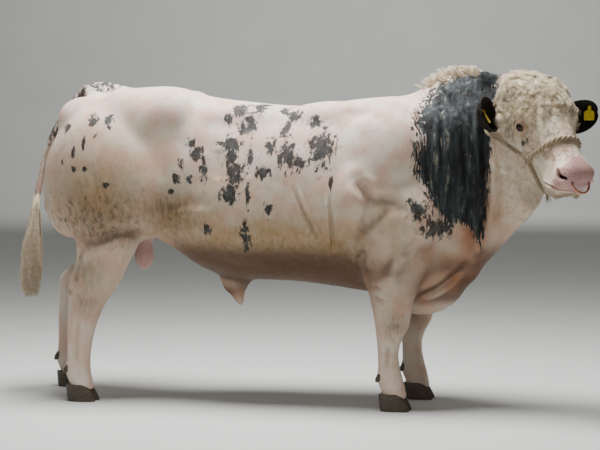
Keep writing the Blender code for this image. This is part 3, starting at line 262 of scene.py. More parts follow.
SWELLS = (
    Swell((0.44, 0.37, 1.11), (0.11, 0.12, 0.12), 0.01, 20),
    Swell((0.29, 0.37, 0.95), (0.085, 0.12, 0.13), 0.012, 20),
    Swell((0.52, 0.34, 0.85), (0.08, 0.12, 0.08), 0.012, 0),
    Swell((0.545, 0.32, 0.68), (0.06, 0.1, 0.09), 0.008, -15),
    Swell((-0.577, 0.29, 0.946), (0.075, 0.12, 0.07), -0.018, 0),
    Swell((-0.468, 0.29, 1.217), (0.11, 0.12, 0.09), -0.01, 20),
    Swell((-0.905, 0.36, 0.8), (0.06, 0.12, 0.05), -0.006, 0),
    Swell((-1.01, 0.29, 0.6), (0.02, 0.06, 0.03), 0.006, 0),
    Swell((-0.935, 0.28, 0.52), (0.03, 0.06, 0.04), 0.007, 0),
    Swell((-1.051, 0.29, 0.524), (0.014, 0.06, 0.014), -0.005, 0),
    Swell((0.5, 0.27, 0.35), (0.035, 0.06, 0.04), 0.006, 0),
)


def catmull(rows: Sequence[Sequence[float]], steps: int = 4) -> Array:
    """Smooth rows between given ones.

    Args:
        rows: rows of numbers.
        steps: steps from one row to the next.

    Returns:
        The Catmull-Rom rows: a cubic through each row whose slope there is half the step to its neighbours.
    """
    table = np.array(rows, float)
    table = np.vstack([2 * table[0] - table[1], table, 2 * table[-1] - table[-2]])
    t = np.linspace(0, 1, steps, endpoint=False)[:, None]
    made = []
    for p0, p1, p2, p3 in zip(table, table[1:], table[2:], table[3:]):
        made.append(0.5 * (2 * p1 + (p2 - p0) * t + (2 * p0 - 5 * p1 + 4 * p2 - p3) * t ** 2
                           + (3 * p1 - p0 - 3 * p2 + p3) * t ** 3))
    return np.vstack(made + [table[-2:-1]])


def unit(vectors: Array) -> Array:
    """The same directions with length one."""
    vectors = np.asarray(vectors, float)
    return vectors / np.maximum(np.linalg.norm(vectors, axis=-1, keepdims=True), 1e-12)


def step(low: float, high: float, value: Array) -> Array:
    """Smooth step from 0 at low to 1 at high: 3 t^2 - 2 t^3 of the share t between the two."""
    t = np.clip((np.asarray(value, float) - low) / (high - low), 0, 1)
    return t * t * (3 - 2 * t)


def bell(gap: Array, width: float) -> Array:
    """A bell of height 1: e to the power of minus the square of gap over width."""
    return np.exp(-(gap / width) ** 2)


def turned(degrees: float) -> Array:
    """Rotation matrix about Y."""
    return np.array(Matrix.Rotation(math.radians(degrees), 3, "Y"))


def head_point(points: Array) -> Array:
    """Points of the head frame (S, side, T) as world points, before the shift to the origin."""
    return POLL + np.asarray(points, float) @ HEAD_TURN.T


def head_way(points: Array) -> Array:
    """Directions of the head frame as world directions of length one."""
    return unit(np.asarray(points, float) @ HEAD_TURN.T)


def head_coords(points: Array) -> Array:
    """World points as S, side and T of the head frame."""
    return (np.asarray(points, float) - POLL) @ HEAD_TURN


def ovals(centres: Array, across: Array, up: Array, half: Array, high: Array, low: Array, square: Array,
          count: int = 40) -> Array:
    """Rings of a loft; all but the centres may be the same for every ring.

    Args:
        centres: place of each ring.
        across: its first axis.
        up: its second axis.
        half: half width.
        high: reach above the centre.
        low: reach below it.
        square: 2 is an ellipse, more is squarer.
        count: points of a ring.

    Returns:
        Rings by points by 3: a superellipse whose upper and lower halves differ, its cosine and sine raised
        to 2 / square.
    """
    angle = 2 * np.pi * np.arange(count) / count
    c, s = np.cos(angle)[None, :], np.sin(angle)[None, :]
    half, high, low, square = [np.broadcast_to(v, len(centres))[:, None] for v in (half, high, low, square)]
    across, up = [np.broadcast_to(way, centres.shape)[:, None] for way in (across, up)]
    bend = 2.0 / square
    side = np.sign(c) * np.abs(c) ** bend * half
    rise = np.sign(s) * np.abs(s) ** bend * np.where(s > 0, high, low)
    return centres[:, None] + across * side[..., None] + up * rise[..., None]


def rounds(centres: Array, across: Array, up: Array, size: Array, count: int) -> Array:
    """Rings that are circles of a given radius each."""
    return ovals(centres, across, up, size, size, size, 2.0, count)


class Surface:
    """Collects grids of points as one mesh."""

    def __init__(self) -> None:
        """Starts with nothing."""
        self.points: List[Array] = []
        self.quads: List[Array] = []
        self.tris: List[Array] = [np.zeros((0, 3), int)]
        self.size = 0

    def grid(self, points: Array, caps: bool = True) -> None:
        """Adds a grid of quads whose rows close on themselves.

        Args:
            points: rows by columns by 3.
            caps: whether the first and last rows are closed with a fan.
        """
        rows, cols = points.shape[:2]
        here = self.size + np.arange(rows * cols).reshape(rows, cols)
        self.points.append(points.reshape(-1, 3))
        self.size += rows * cols
        after = np.roll(here, -1, axis=1)
        self.quads.append(np.stack([here[:-1], after[:-1], after[1:], here[1:]], -1).reshape(-1, 4))
        for row, flip in ((0, True), (rows - 1, False)) if caps else ():
            self.points.append(points[row].mean(0)[None])
            fan = np.stack([here[row], after[row], np.full(cols, self.size)], -1)
            self.tris.append(fan[:, ::-1] if flip else fan)
            self.size += 1

    def ball(self, centre: Array, radii: Sequence[float], turn: Array) -> None:
        """Adds an ellipsoid at a place, with three radii, turned by a matrix."""
        self.grid(centre + (sphere(28, 16, 0.49) * np.asarray(radii)) @ turn.T)

    def tube(self, path: Array, radius: Array, count: int = 12, roll: Point = (0, 0, 1)) -> None:
        """Adds a tube: a circle square to the path at each of its points.

        Args:
            path: points of the middle line.
            radius: one radius, or one for each point.
            count: points round it.
            roll: a direction that the path doesn't run along.
        """
        way = unit(np.gradient(path, axis=0))
        across = unit(np.cross(way, np.array(roll, float)))
        self.grid(rounds(path, across, np.cross(across, way), radius, count))

    def build(self, name: str, material: Optional[bpy.types.Material], slot: str) -> bpy.types.Object:
        """Makes the piece of that name with its material, riding with the body where a slot of the record is given,
        and returns it.
        """
        return mesh_object(name, np.vstack(self.points) + SHIFT, np.vstack(self.quads), np.vstack(self.tris),
                           material, slot)


def sphere(count: int, rings: int, reach: float = 0.5) -> Array:
    """Points of a unit ball: so many rings of latitude, up to a reach in half turns, of so many points."""
    lat, lon = np.linspace(-reach, reach, rings)[:, None] * np.pi, 2 * np.pi * np.arange(count) / count
    return np.stack([np.cos(lat) * np.cos(lon), np.cos(lat) * np.sin(lon), np.sin(lat) * np.ones_like(lon)], -1)


def mesh_object(name: str, points: Array, quads: Array, tris: Array, material: Optional[bpy.types.Material],
                slot: str) -> bpy.types.Object:
    """Makes a mesh object from arrays and, where it has a slot, lets it ride with the body.

    Args:
        name: name of the piece.
        points: its points.
        quads: corners of its quads.
        tris: corners of its triangles.
        material: its material.
        slot: material slot of the record, or nothing for a piece of the stage.

    Returns:
        The object.
    """
    mesh = bpy.data.meshes.new(name)
    mesh.vertices.add(len(points))
    mesh.vertices.foreach_set("co", np.ascontiguousarray(points, np.float32).ravel())
    corners = np.concatenate([quads.ravel(), tris.ravel()]).astype(np.int32)
    totals = np.concatenate([np.full(len(quads), 4), np.full(len(tris), 3)]).astype(np.int32)
    mesh.loops.add(len(corners))
    mesh.loops.foreach_set("vertex_index", corners)
    mesh.polygons.add(len(totals))
    mesh.polygons.foreach_set("loop_start", np.concatenate([[0], np.cumsum(totals)[:-1]]).astype(np.int32))
    mesh.update(calc_edges=True)
    mesh.polygons.foreach_set("use_smooth", np.full(len(totals), True))
    mesh.validate()
    obj = bpy.data.objects.new(name, mesh)
    bpy.context.scene.collection.objects.link(obj)
    log.info("%s: %d points", name, len(points))
    if material:
        mesh.materials.append(material)
    if slot:
        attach(obj, "root")
    return obj


def read(items: bpy.types.bpy_prop_collection, key: str, width: int, kind: type = np.float32) -> Array:
    """Reads one property of many items.

    Args:
        items: points, edges, triangles or corners of a mesh.
        key: the property.
        width: numbers in it.
        kind: type of the numbers.

    Returns:
        One row an item.
    """
    values = np.empty(len(items) * width, kind)
    items.foreach_get(key, values)
    return values.reshape(-1, width)


def mesh_points(mesh: bpy.types.Mesh) -> Array:
    """The mesh's points, in the frame before the shift."""
    return read(mesh.vertices, "co", 3).astype(float) - SHIFT


def mesh_normals(mesh: bpy.types.Mesh) -> Array:
    """The mesh's point normals."""
    return read(mesh.vertex_normals, "vector", 3).astype(float)


def soften(points: Array, edges: Array, count: int, weight: Array) -> Array:
    """Moves each point half of its weight towards the mean of its neighbours.

    Args:
        points: the points.
        edges: pairs of neighbours.
        count: how many times.
        weight: from 0 to 1 a point.

    Returns:
        The moved points.
    """
    size = len(points)
    near = np.bincount(edges.ravel(), minlength=size).clip(1)[:, None]
    for _ in range(count):
        mean = np.stack([np.bincount(edges[:, 0], points[edges[:, 1], k], size)
                         + np.bincount(edges[:, 1], points[edges[:, 0], k], size) for k in range(3)], -1) / near
        points = points + (mean - points) * (0.5 * weight)[:, None]
    return points


def line_distance(points: Array, line: Array) -> Tuple[Array, Array]:
    """Nearest place on a line of straight pieces.

    Args:
        points: the points.
        line: corners of the line.

    Returns:
        How far each point is from the line, and at what share of its length it is nearest.
    """
    best = np.full(len(points), 1e9)
    share = np.zeros(len(points))
    lengths = np.linalg.norm(np.diff(line, axis=0), axis=1)
    starts = np.concatenate([[0], np.cumsum(lengths)])
    for a, b, length, start in zip(line, line[1:], lengths, starts):
        t = np.clip((points - a) @ (b - a) / max(length ** 2, 1e-12), 0, 1)
        gap = np.linalg.norm(points - a - t[:, None] * (b - a), axis=1)
        nearer = gap < best
        best[nearer] = gap[nearer]
        share[nearer] = (start + t[nearer] * length) / starts[-1]
    return best, share


@dataclass
class Skin:
    """The one skin of the animal: lofts and muscles fused, softened, and then shaped in detail."""

    voxel: float = 0.0085
    coat_depth: float = 0.003
    body_rounds: int = 46
    head_rounds: int = 7
    fold_gain: float = 1.35
    dewclaw_swell: float = 0.011
    nostril_depth: float = 0.030
    surface: Surface = field(default_factory=Surface)
    obj: bpy.types.Object = None
    crease: Array = None
    hollow: Array = None
    fields: Array = None

    def build(self) -> "Skin":
        """Makes the skin and returns it."""
        self.flesh()
        self.fuse()
        self.shape_body()
        self.shape_head()
        return self

    def flesh(self) -> None:
        """Lofts of trunk, neck, legs, tail and skull, and a ball for each muscle."""
        x, top, low, half, level, square = catmull(TRUNK).T
        self.loft(np.stack([x, 0 * x, level], -1), (0, 1, 0), half, top - level, level - low, square)
        x, y, heading, top, low, half, level, square = catmull(NECK).T
        turn = np.radians(heading)
        across = np.stack([-np.sin(turn), np.cos(turn), 0 * turn], -1)
        self.loft(np.stack([x, y, level], -1), across, half, top - level, level - low, square)
        for side in Side:
            for row in MUSCLES:
                lead = THIGH_LEAD[side] if row[0] < -0.8 else 0.0
                self.surface.ball(np.array((row[0] + lead, side.value * row[1], row[2])), row[3:6], turned(row[6]))
            self.leg(FORE_LEG, FORE_SPREAD * side.value, FORE_LEAD[side], 0.0)
            self.leg(HIND_LEG, HIND_SPREAD * side.value, HIND_LEAD[side], THIGH_LEAD[side])
            for s, out, t, *radii, lean in HEAD_MASSES:
                self.surface.ball(head_point((s, side.value * out, t)), radii, HEAD_TURN @ turned(lean))
        for row in MIDDLE_MASSES:
            self.surface.ball(np.array(row[:3]), row[3:6], turned(row[6]))
        x, z, radius = catmull(TAIL).T
        self.surface.tube(np.stack([x, 0 * x, z], -1), radius, 20, (0, 1, 0))
        s, top, low, half, level, square = catmull(SKULL).T
        self.loft(np.stack([s, 0 * s, level], -1), (0, 1, 0), half, top - level, level - low, square, head_point, 56)

    def loft(self, centres: Array, across: Sequence[float], half: Array, high: Array, low: Array, square: Array,
             place: Callable[[Array], Array] = np.asarray, count: int = 40) -> None:
        """Adds a loft of upright ovals, as ovals() takes them; place turns the points into world points."""
        self.surface.grid(place(ovals(centres, across, (0.0, 0, 1), half, high, low, square, count)))

    def leg(self, sections: Sequence[Sequence[float]], spread: float, lead: float, top_lead: float) -> None:
        """Adds one leg as level ovals.

        Args:
            sections: its table.
            spread: its place along Y.
            lead: how far the foot stands forward.
            top_lead: the same at the body.
        """
        z, x, length, width = catmull(sections).T
        share = np.clip((z[0] - z) / (z[0] - 0.55), 0, 1)
        centres = np.stack([x + top_lead + (lead - top_lead) * share, np.full_like(x, spread), z], -1)
        self.surface.grid(ovals(centres, (1.0, 0, 0), (0, 1.0, 0), length, width, width, 2.1, 32))

    def fuse(self) -> None:
        """Joins the masses, softens them, and makes the mesh finer over the head, finest at eyes and muzzle."""
        self.obj = self.surface.build("bull_skin", None, "hide")
        remesh = self.obj.modifiers.new("fuse", "REMESH")
        remesh.mode = "VOXEL"
        remesh.voxel_size = self.voxel
        bpy.context.view_layer.update()
        graph = bpy.context.evaluated_depsgraph_get()
        mesh = bpy.data.meshes.new_from_object(self.obj.evaluated_get(graph), depsgraph=graph)
        self.obj.modifiers.clear()
        self.obj.data = mesh
        mesh.name = "bull_skin"
        points = mesh_points(mesh)
        head = self.headness(points)
        foot = 1 - step(0.30, 0.46, points[:, 2])
        left = self.body_rounds * (1 - head) * (1 - 0.55 * foot) + self.head_rounds * head
        edges = read(mesh.edges, "vertices", 2, np.int32)
        for _ in range(self.body_rounds):
            points = soften(points, edges, 1, np.clip(left, 0, 1))
            left = left - 1
        self.put(points)
        self.refine(lambda spots: self.headness(spots) > 0.55)
        self.refine(self.near_eyes_or_muzzle)

    @staticmethod
    def headness(points: Array) -> Array:
        """Tells head from body.

        Args:
            points: any points.

        Returns:
            0 on the body, 1 on the head, with a soft change across the back of the jaw.
        """
        heading = np.array([math.cos(math.radians(-40)), math.sin(math.radians(-40)), 0])
        behind = (points - np.array([1.050, -0.075, 1.550])) @ heading
        s = head_coords(points)[:, 0]
        return step(-0.06, 0.05, behind) * step(-0.20, -0.05, s) * step(0.80, 0.90, points[:, 2])

    @staticmethod
    def near_eyes_or_muzzle(points: Array) -> Array:
        """Finds what needs the finest mesh.

        Args:
            points: any points.

        Returns:
            Whether each is within 60 mm of an eye or 85 mm of a side of the muzzle.
        """
        near = np.zeros(len(points), bool)
        for place, reach in ((EYE_PLACE, 0.060), ((0.54, 0.05, -0.085), 0.085)):
            for side in Side:
                near |= np.linalg.norm(points - mirrored(place, side), axis=1) < reach
        return near

    def put(self, points: Array) -> None:
        """Writes the points back to the mesh."""
        self.obj.data.vertices.foreach_set("co", (points + SHIFT).astype(np.float32).ravel())
        self.obj.data.update()

    def refine(self, chosen: Callable[[Array], Array]) -> None:
        """Cuts the faces of a region in four and rounds the new points off.

        Args:
            chosen: says of points whether they are in the region.
        """
        mesh = self.obj.data
        inside = chosen(mesh_points(mesh))
        bm = bmesh.new()
        bm.from_mesh(mesh)
        bm.verts.ensure_lookup_table()
        edges = [e for e in bm.edges if inside[e.verts[0].index] and inside[e.verts[1].index]]
        bmesh.ops.subdivide_edges(bm, edges=edges, cuts=1, use_grid_fill=True)
        bmesh.ops.triangulate(bm, faces=[f for f in bm.faces if len(f.verts) > 4])
        bm.to_mesh(mesh)
        bm.free()
        points = mesh_points(mesh)
        self.put(soften(points, read(mesh.edges, "vertices", 2, np.int32), 3, chosen(points).astype(float)))

    def fold(self, points: Array, line: Array, width: float, depth: float) -> Array:
        """How far a fold moves each point.

        Args:
            points: the skin's points.
            line: the fold's line.
            width: its reach to each side.
            depth: its depth.

        Returns:
            A bell across the line, with a slight lip, that fades out at both ends.
        """
        box = np.all((points > line.min(0) - 4 * width) & (points < line.max(0) + 4 * width), axis=1)
        move = np.zeros(len(points))
        if box.any():
            gap, share = line_distance(points[box], line)
            ends = step(0, 0.18, share) * step(0, 0.18, 1 - share)
            move[box] = -depth * (bell(gap, width) - 0.28 * bell(gap - 2.0 * width, width)) * (0.25 + 0.75 * ends)
        return move

    def shape_body(self) -> None:
        """Muscle edges, folds of loose skin and hollows of the body."""
        points = mesh_points(self.obj.data)
        move = np.full(len(points), -self.coat_depth)
        self.crease = np.zeros(len(points))
        tree = self.tree()
        for item in FOLDS:
            for sign in item.sides:
                line = on_skin(tree, [(x, -y if sign > 0 else y, z) for x, y, z in np.array(item.points) / 1000])
                shift = self.fold(points, line, item.width, item.depth * self.fold_gain)
                move += shift
                self.crease = np.maximum(self.crease, np.clip(-shift / 0.012, 0, 1))
        for item in SWELLS:
            for side in Side:
                away = (points - np.array(item.centre) * (1, side.value, 1)) @ turned(item.lean)
                move += item.height * np.exp(-np.sum((away / np.array(item.radii)) ** 2, axis=1) * 1.4)
        for name in nodes_named("dewclaw_"):
            middle = np.mean(node_box(name), axis=0)
            away = np.linalg.norm(points - middle - [0.004, 0, 0.010], axis=1)
            move += self.dewclaw_swell * bell(away, 0.021)
        self.put(points + mesh_normals(self.obj.data) * move[:, None])

    def tree(self) -> BVHTree:
        """A search tree of the skin, in the frame before the shift."""
        mesh = self.obj.data
        return BVHTree.FromPolygons(mesh_points(mesh).tolist(), [tuple(p.vertices) for p in mesh.polygons])

    def shape_head(self) -> None:
        """Eye sockets with lids, nostrils, lips and the wrinkles of the face."""
        points = mesh_points(self.obj.data)
        move = np.zeros(len(points))
        self.hollow = np.zeros(len(points))
        tree = self.tree()
        for side in Side:
            gap, share = line_distance(points, on_skin(tree, mirrored(NOSTRIL, side)))
            wide = 0.0060 + 0.0060 * np.sin(np.pi * np.clip(share, 0, 1)) ** 0.8 * (1.25 - 0.5 * share)
            inside = 1 - step(0.55, 1.15, gap / wide)
            self.hollow = np.maximum(self.hollow, inside)
            move += 0.0035 * bell(gap - wide * 1.75, 0.0060) - self.nostril_depth * inside
            gap, share = line_distance(points, on_skin(tree, mirrored(MOUTH, side)))
            move += 0.0030 * bell(gap - 0.010, 0.006) - 0.0075 * bell(gap, 0.0030)
            for line, width, depth in FACE_LINES:
                move += self.fold(points, on_skin(tree, mirrored(line, side)), width, depth)
        points = points + mesh_normals(self.obj.data) * move[:, None]
        for side in Side:
            points = self.lids(points, side)
        low, high = np.array(CAD_BOX) - SHIFT
        self.put(np.clip(points, low + 0.0015, high - 0.0015))

    def lids(self, points: Array, side: Side) -> Array:
        """Draws the skin over the eyeball as lids and opens them like an almond.

        Args:
            points: the skin's points.
            side: side of the head.

        Returns:
            The moved points: the skin meets a ball a lid's thickness larger than the eye in a soft maximum,
            and inside the almond it drops behind the eyeball.
        """
        centre, long_way, up_way, out = eye_frame(side)
        away = points - centre
        x, y, z = away @ long_way, away @ up_way, away @ out
        radial = np.hypot(x, y)
        lid = np.sqrt(np.clip((EYE_RADIUS + 0.0032) ** 2 - radial ** 2, 0, None))
        lid = np.where(radial < EYE_RADIUS + 0.003, lid, -0.02)
        socket = z - 0.0045 * bell(radial - 0.036, 0.010) + 0.0030 * bell(radial - 0.048, 0.010) * (y > 0)
        target = 0.5 * (socket + lid + np.sqrt((socket - lid) ** 2 + 0.007 ** 2))
        target -= 0.0016 * bell(radial - 0.0205, 0.0016) * (y > 0.002)
        inside = np.sqrt(np.clip((EYE_RADIUS - 0.004) ** 2 - radial ** 2, 0, None))
        target += (inside - target) * (1 - step(0.92, 1.10, almond(x, y)))
        fade = (1 - step(0.048, 0.060, radial)) * ((radial < 0.060) & (z > -0.03))
        return points + ((target - z) * fade)[:, None] * out


def mirrored(places: Sequence, side: Side) -> Array:
    """Places of the head frame on one side, as world points."""
    return head_point(np.array(places) * (1, side.value, 1))


def on_skin(tree: BVHTree, line: Sequence[Sequence[float]]) -> Array:
    """The points of the skin nearest to a smooth line through given places."""
    return np.array([tree.find_nearest(Vector(p))[0][:] for p in catmull(line, 6)])


def nodes_named(start: str) -> List[str]:
    """Names of the solids that start so."""
    return [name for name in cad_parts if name.startswith(start)]


def node_box(name: str) -> Array:
    """Lowest and highest corner of a solid, in the frame before the shift."""
    return np.array([tuple(corner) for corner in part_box(name)]) - SHIFT


def eye_frame(side: Side) -> Tuple[Array, Array, Array, Array]:
    """Place and axes of an eye.

    Args:
        side: side of the head.

    Returns:
        Its centre, its long way, its way up and its gaze.
    """
    out = head_way((EYE_GAZE[0], side.value * EYE_GAZE[1], EYE_GAZE[2]))
    long_way = head_way((0.93, 0.0, -0.36))
    long_way = unit(long_way - out * (long_way @ out))
    up_way = np.cross(out, long_way)
    up_way = up_way if up_way @ head_way((0, 0, 1)) >= 0 else -up_way
    return mirrored(EYE_PLACE, side), long_way, up_way, out


def lid_edge(x: Array, open_by: Sequence[float]) -> Tuple[Array, Array]:
    """Heights of the upper and lower arch of the eye's opening over its long way."""
    share = np.clip(1 - (x / EYE_HALF) ** 2, 0.0001, 1)
    return open_by[0] * share ** 0.75, open_by[1] * share ** 0.9


def almond(x: Array, y: Array) -> Array:
    """1 on the edge of the eye's opening, less inside it: the upper arch is higher than the lower."""
    return np.maximum(np.abs(y) / np.where(y > 0, *lid_edge(x, EYE_OPEN)), np.abs(x) / EYE_HALF)


# Lines of the face, in the head frame: line, width, depth
FACE_LINES = (
    ([(0.245, 0.142, -0.06), (0.29, 0.112, -0.105), (0.35, 0.096, -0.12), (0.41, 0.09, -0.11)], 0.012, -0.005),
    ([(0.25, 0.15, -0.075), (0.285, 0.128, -0.115), (0.31, 0.118, -0.15)], 0.008, 0.003),
    ([(0.06, 0.155, -0.24), (0.14, 0.16, -0.285), (0.22, 0.14, -0.29), (0.29, 0.11, -0.26)], 0.014, -0.006),
    ([(0.27, 0.13, -0.17), (0.3, 0.118, -0.215), (0.31, 0.1, -0.255)], 0.016, 0.009),
    ([(0.24, 0.06, 0.06), (0.32, 0.05, 0.03), (0.42, 0.046, 0.004)], 0.012, -0.003),
    ([(0.33, 0.095, -0.06), (0.4, 0.085, -0.06), (0.47, 0.088, -0.06)], 0.016, 0.004),
    ([(0.18, 0.135, 0.02), (0.23, 0.125, 0.02), (0.27, 0.1, 0.015)], 0.01, -0.004),
    ([(0.5, 0.1, -0.095), (0.535, 0.094, -0.1), (0.56, 0.07, -0.1)], 0.005, 0.0022),
    ([(0.47, 0.096, -0.11), (0.5, 0.1, -0.118), (0.535, 0.09, -0.118)], 0.005, 0.0018),
)


def linear(code: str) -> Tuple[float, float, float, float]:
    """An sRGB hex colour as linear red, green, blue and alpha."""
    parts = [int(code[i:i + 2], 16) / 255 for i in (1, 3, 5)]
    return tuple(c / 12.92 if c <= 0.04045 else ((c + 0.055) / 1.055) ** 2.4 for c in parts) + (1.0,)


class Nodes:
    """Builds the node tree of one material."""

    def __init__(self, name: str) -> None:
        """Makes the material of that name with its shader and its object coordinates."""
        self.material = bpy.data.materials.new(name)
        self.material.use_nodes = True
        self.tree = self.material.node_tree
        self.bsdf = next(n for n in self.tree.nodes if n.type == "BSDF_PRINCIPLED")
        self.place = self.add("ShaderNodeTexCoord").outputs["Object"]

    def put(self, socket: Socket, value: Value) -> None:
        """Links an output to an input, or sets the input to a constant or an sRGB colour."""
        if isinstance(value, Socket):
            self.tree.links.new(value, socket)
        else:
            socket.default_value = linear(value) if isinstance(value, str) else value

    def add(self, kind: str, settings: Optional[Dict[str, Any]] = None, **links: Value) -> bpy.types.Node:
        """Adds a node.

        Args:
            kind: type of the node.
            settings: its properties.
            links: value or output for each input, by its name with _ for a blank, or by its number as i0, i1.

        Returns:
            The node.
        """
        node = self.tree.nodes.new(kind)
        for key, value in (settings or {}).items():
            setattr(node, key, value)
        for key, value in links.items():
            number = key[0] == "i" and key[1:].isdigit()
            self.put(node.inputs[int(key[1:]) if number else key.replace("_", " ")], value)
        return node

    def fields(self, layer: str) -> Sequence[Socket]:
        """The three markings that one layer of point colours holds."""
        colour = self.add("ShaderNodeVertexColor", {"layer_name": layer}).outputs[0]
        return self.add("ShaderNodeSeparateColor", Color=colour).outputs

    def stretch(self, size: Point) -> Socket:
        """Object coordinates times a size for each axis."""
        return self.add("ShaderNodeMapping", i0=self.place, Scale=size).outputs[0]

    def noise(self, scale: float, detail: float = 4.0, rough: float = 0.55, vector: Optional[Socket] = None,
              warp: float = 0.0) -> Socket:
        """Noise of so many features a metre, with its detail, roughness, coordinates and warp."""
        return self.add("ShaderNodeTexNoise", Vector=vector or self.place, Scale=scale, Detail=detail,
                        Roughness=rough, Distortion=warp).outputs["Fac"]

    def math(self, operation: str, a: Value, b: Value = 0.0) -> Socket:
        """One sum of two numbers."""
        return self.add("ShaderNodeMath", {"operation": operation}, i0=a, i1=b).outputs[0]

    def times(self, a: Value, b: Value) -> Socket:
        """The product of two numbers."""
        return self.math("MULTIPLY", a, b)

    def broken(self, mark: Socket, pattern: Socket, gain: float) -> Socket:
        """A marking whose edge a pattern of mean 0.5 breaks: the marking plus gain times (pattern - 0.5)."""
        return self.math("ADD", mark, self.times(self.math("SUBTRACT", pattern, 0.5), gain))

    def range(self, value: Value, low: float, high: float, to_low: float = 0.0, to_high: float = 1.0) -> Socket:
        """Maps a range smoothly to another."""
        node = self.add("ShaderNodeMapRange", {"interpolation_type": "SMOOTHSTEP"}, Value=value, From_Min=low,
                        From_Max=high, To_Min=to_low, To_Max=to_high)
        return node.outputs[0]

    def mix(self, share: Value, a: Value, b: Value, blend: str = "MIX") -> Socket:
        """Mixes two colours, given as outputs or hex codes."""
        node = self.add("ShaderNodeMix", {"data_type": "RGBA", "blend_type": blend}, i0=share, i6=a, i7=b)
        return node.outputs[2]

    def bump(self, height: Value, depth: float, strength: float = 1.0, normal: Optional[Socket] = None) -> Socket:
        """Adds a bump.

        Args:
            height: from 0 to 1.
            depth: height of 1 in metres.
            strength: its share.
            normal: a bump that it is laid over.

        Returns:
            The normal.
        """
        node = self.add("ShaderNodeBump", Height=height, Distance=depth, Strength=strength)
        if normal is not None:
            self.put(node.inputs["Normal"], normal)
        return node.outputs[0]

    def finish(self, **values: Value) -> bpy.types.Material:
        """Sets inputs of the shader by their names, with _ for a blank, and returns the material."""
        for key, value in values.items():
            self.put(self.bsdf.inputs[key.replace("_", " ")], value)
        return self.material


@dataclass(frozen=True)
class Finish:
    """A finish of two mixed tones.

    The pattern has so many features a metre and is squeezed along the axes; roughness is its mean, depth that of
    the bump in metres, metallic 1 for metal, and specular the level of the mirror part.
    """

    name: str
    dark: str
    light: str
    scale: float
    rough: float
    depth: float
    stretch: Point = (1, 1, 1)
    metallic: float = 0.0
    specular: float = 0.5

    def material(self) -> bpy.types.Material:
        """Makes the material."""
        n = Nodes(self.name)
        grain = n.noise(self.scale, 5.0, 0.6, n.stretch(self.stretch))
        colour = n.mix(n.range(grain, 0.30, 0.70), self.dark, self.light)
        uneven = n.range(n.noise(self.scale * 0.3, 3.0), 0.3, 0.7, self.rough - 0.06, self.rough + 0.06)
        return n.finish(Base_Color=colour, Roughness=uneven, Normal=n.bump(grain, self.depth, 0.7),
                        Metallic=self.metallic, Specular_IOR_Level=self.specular)


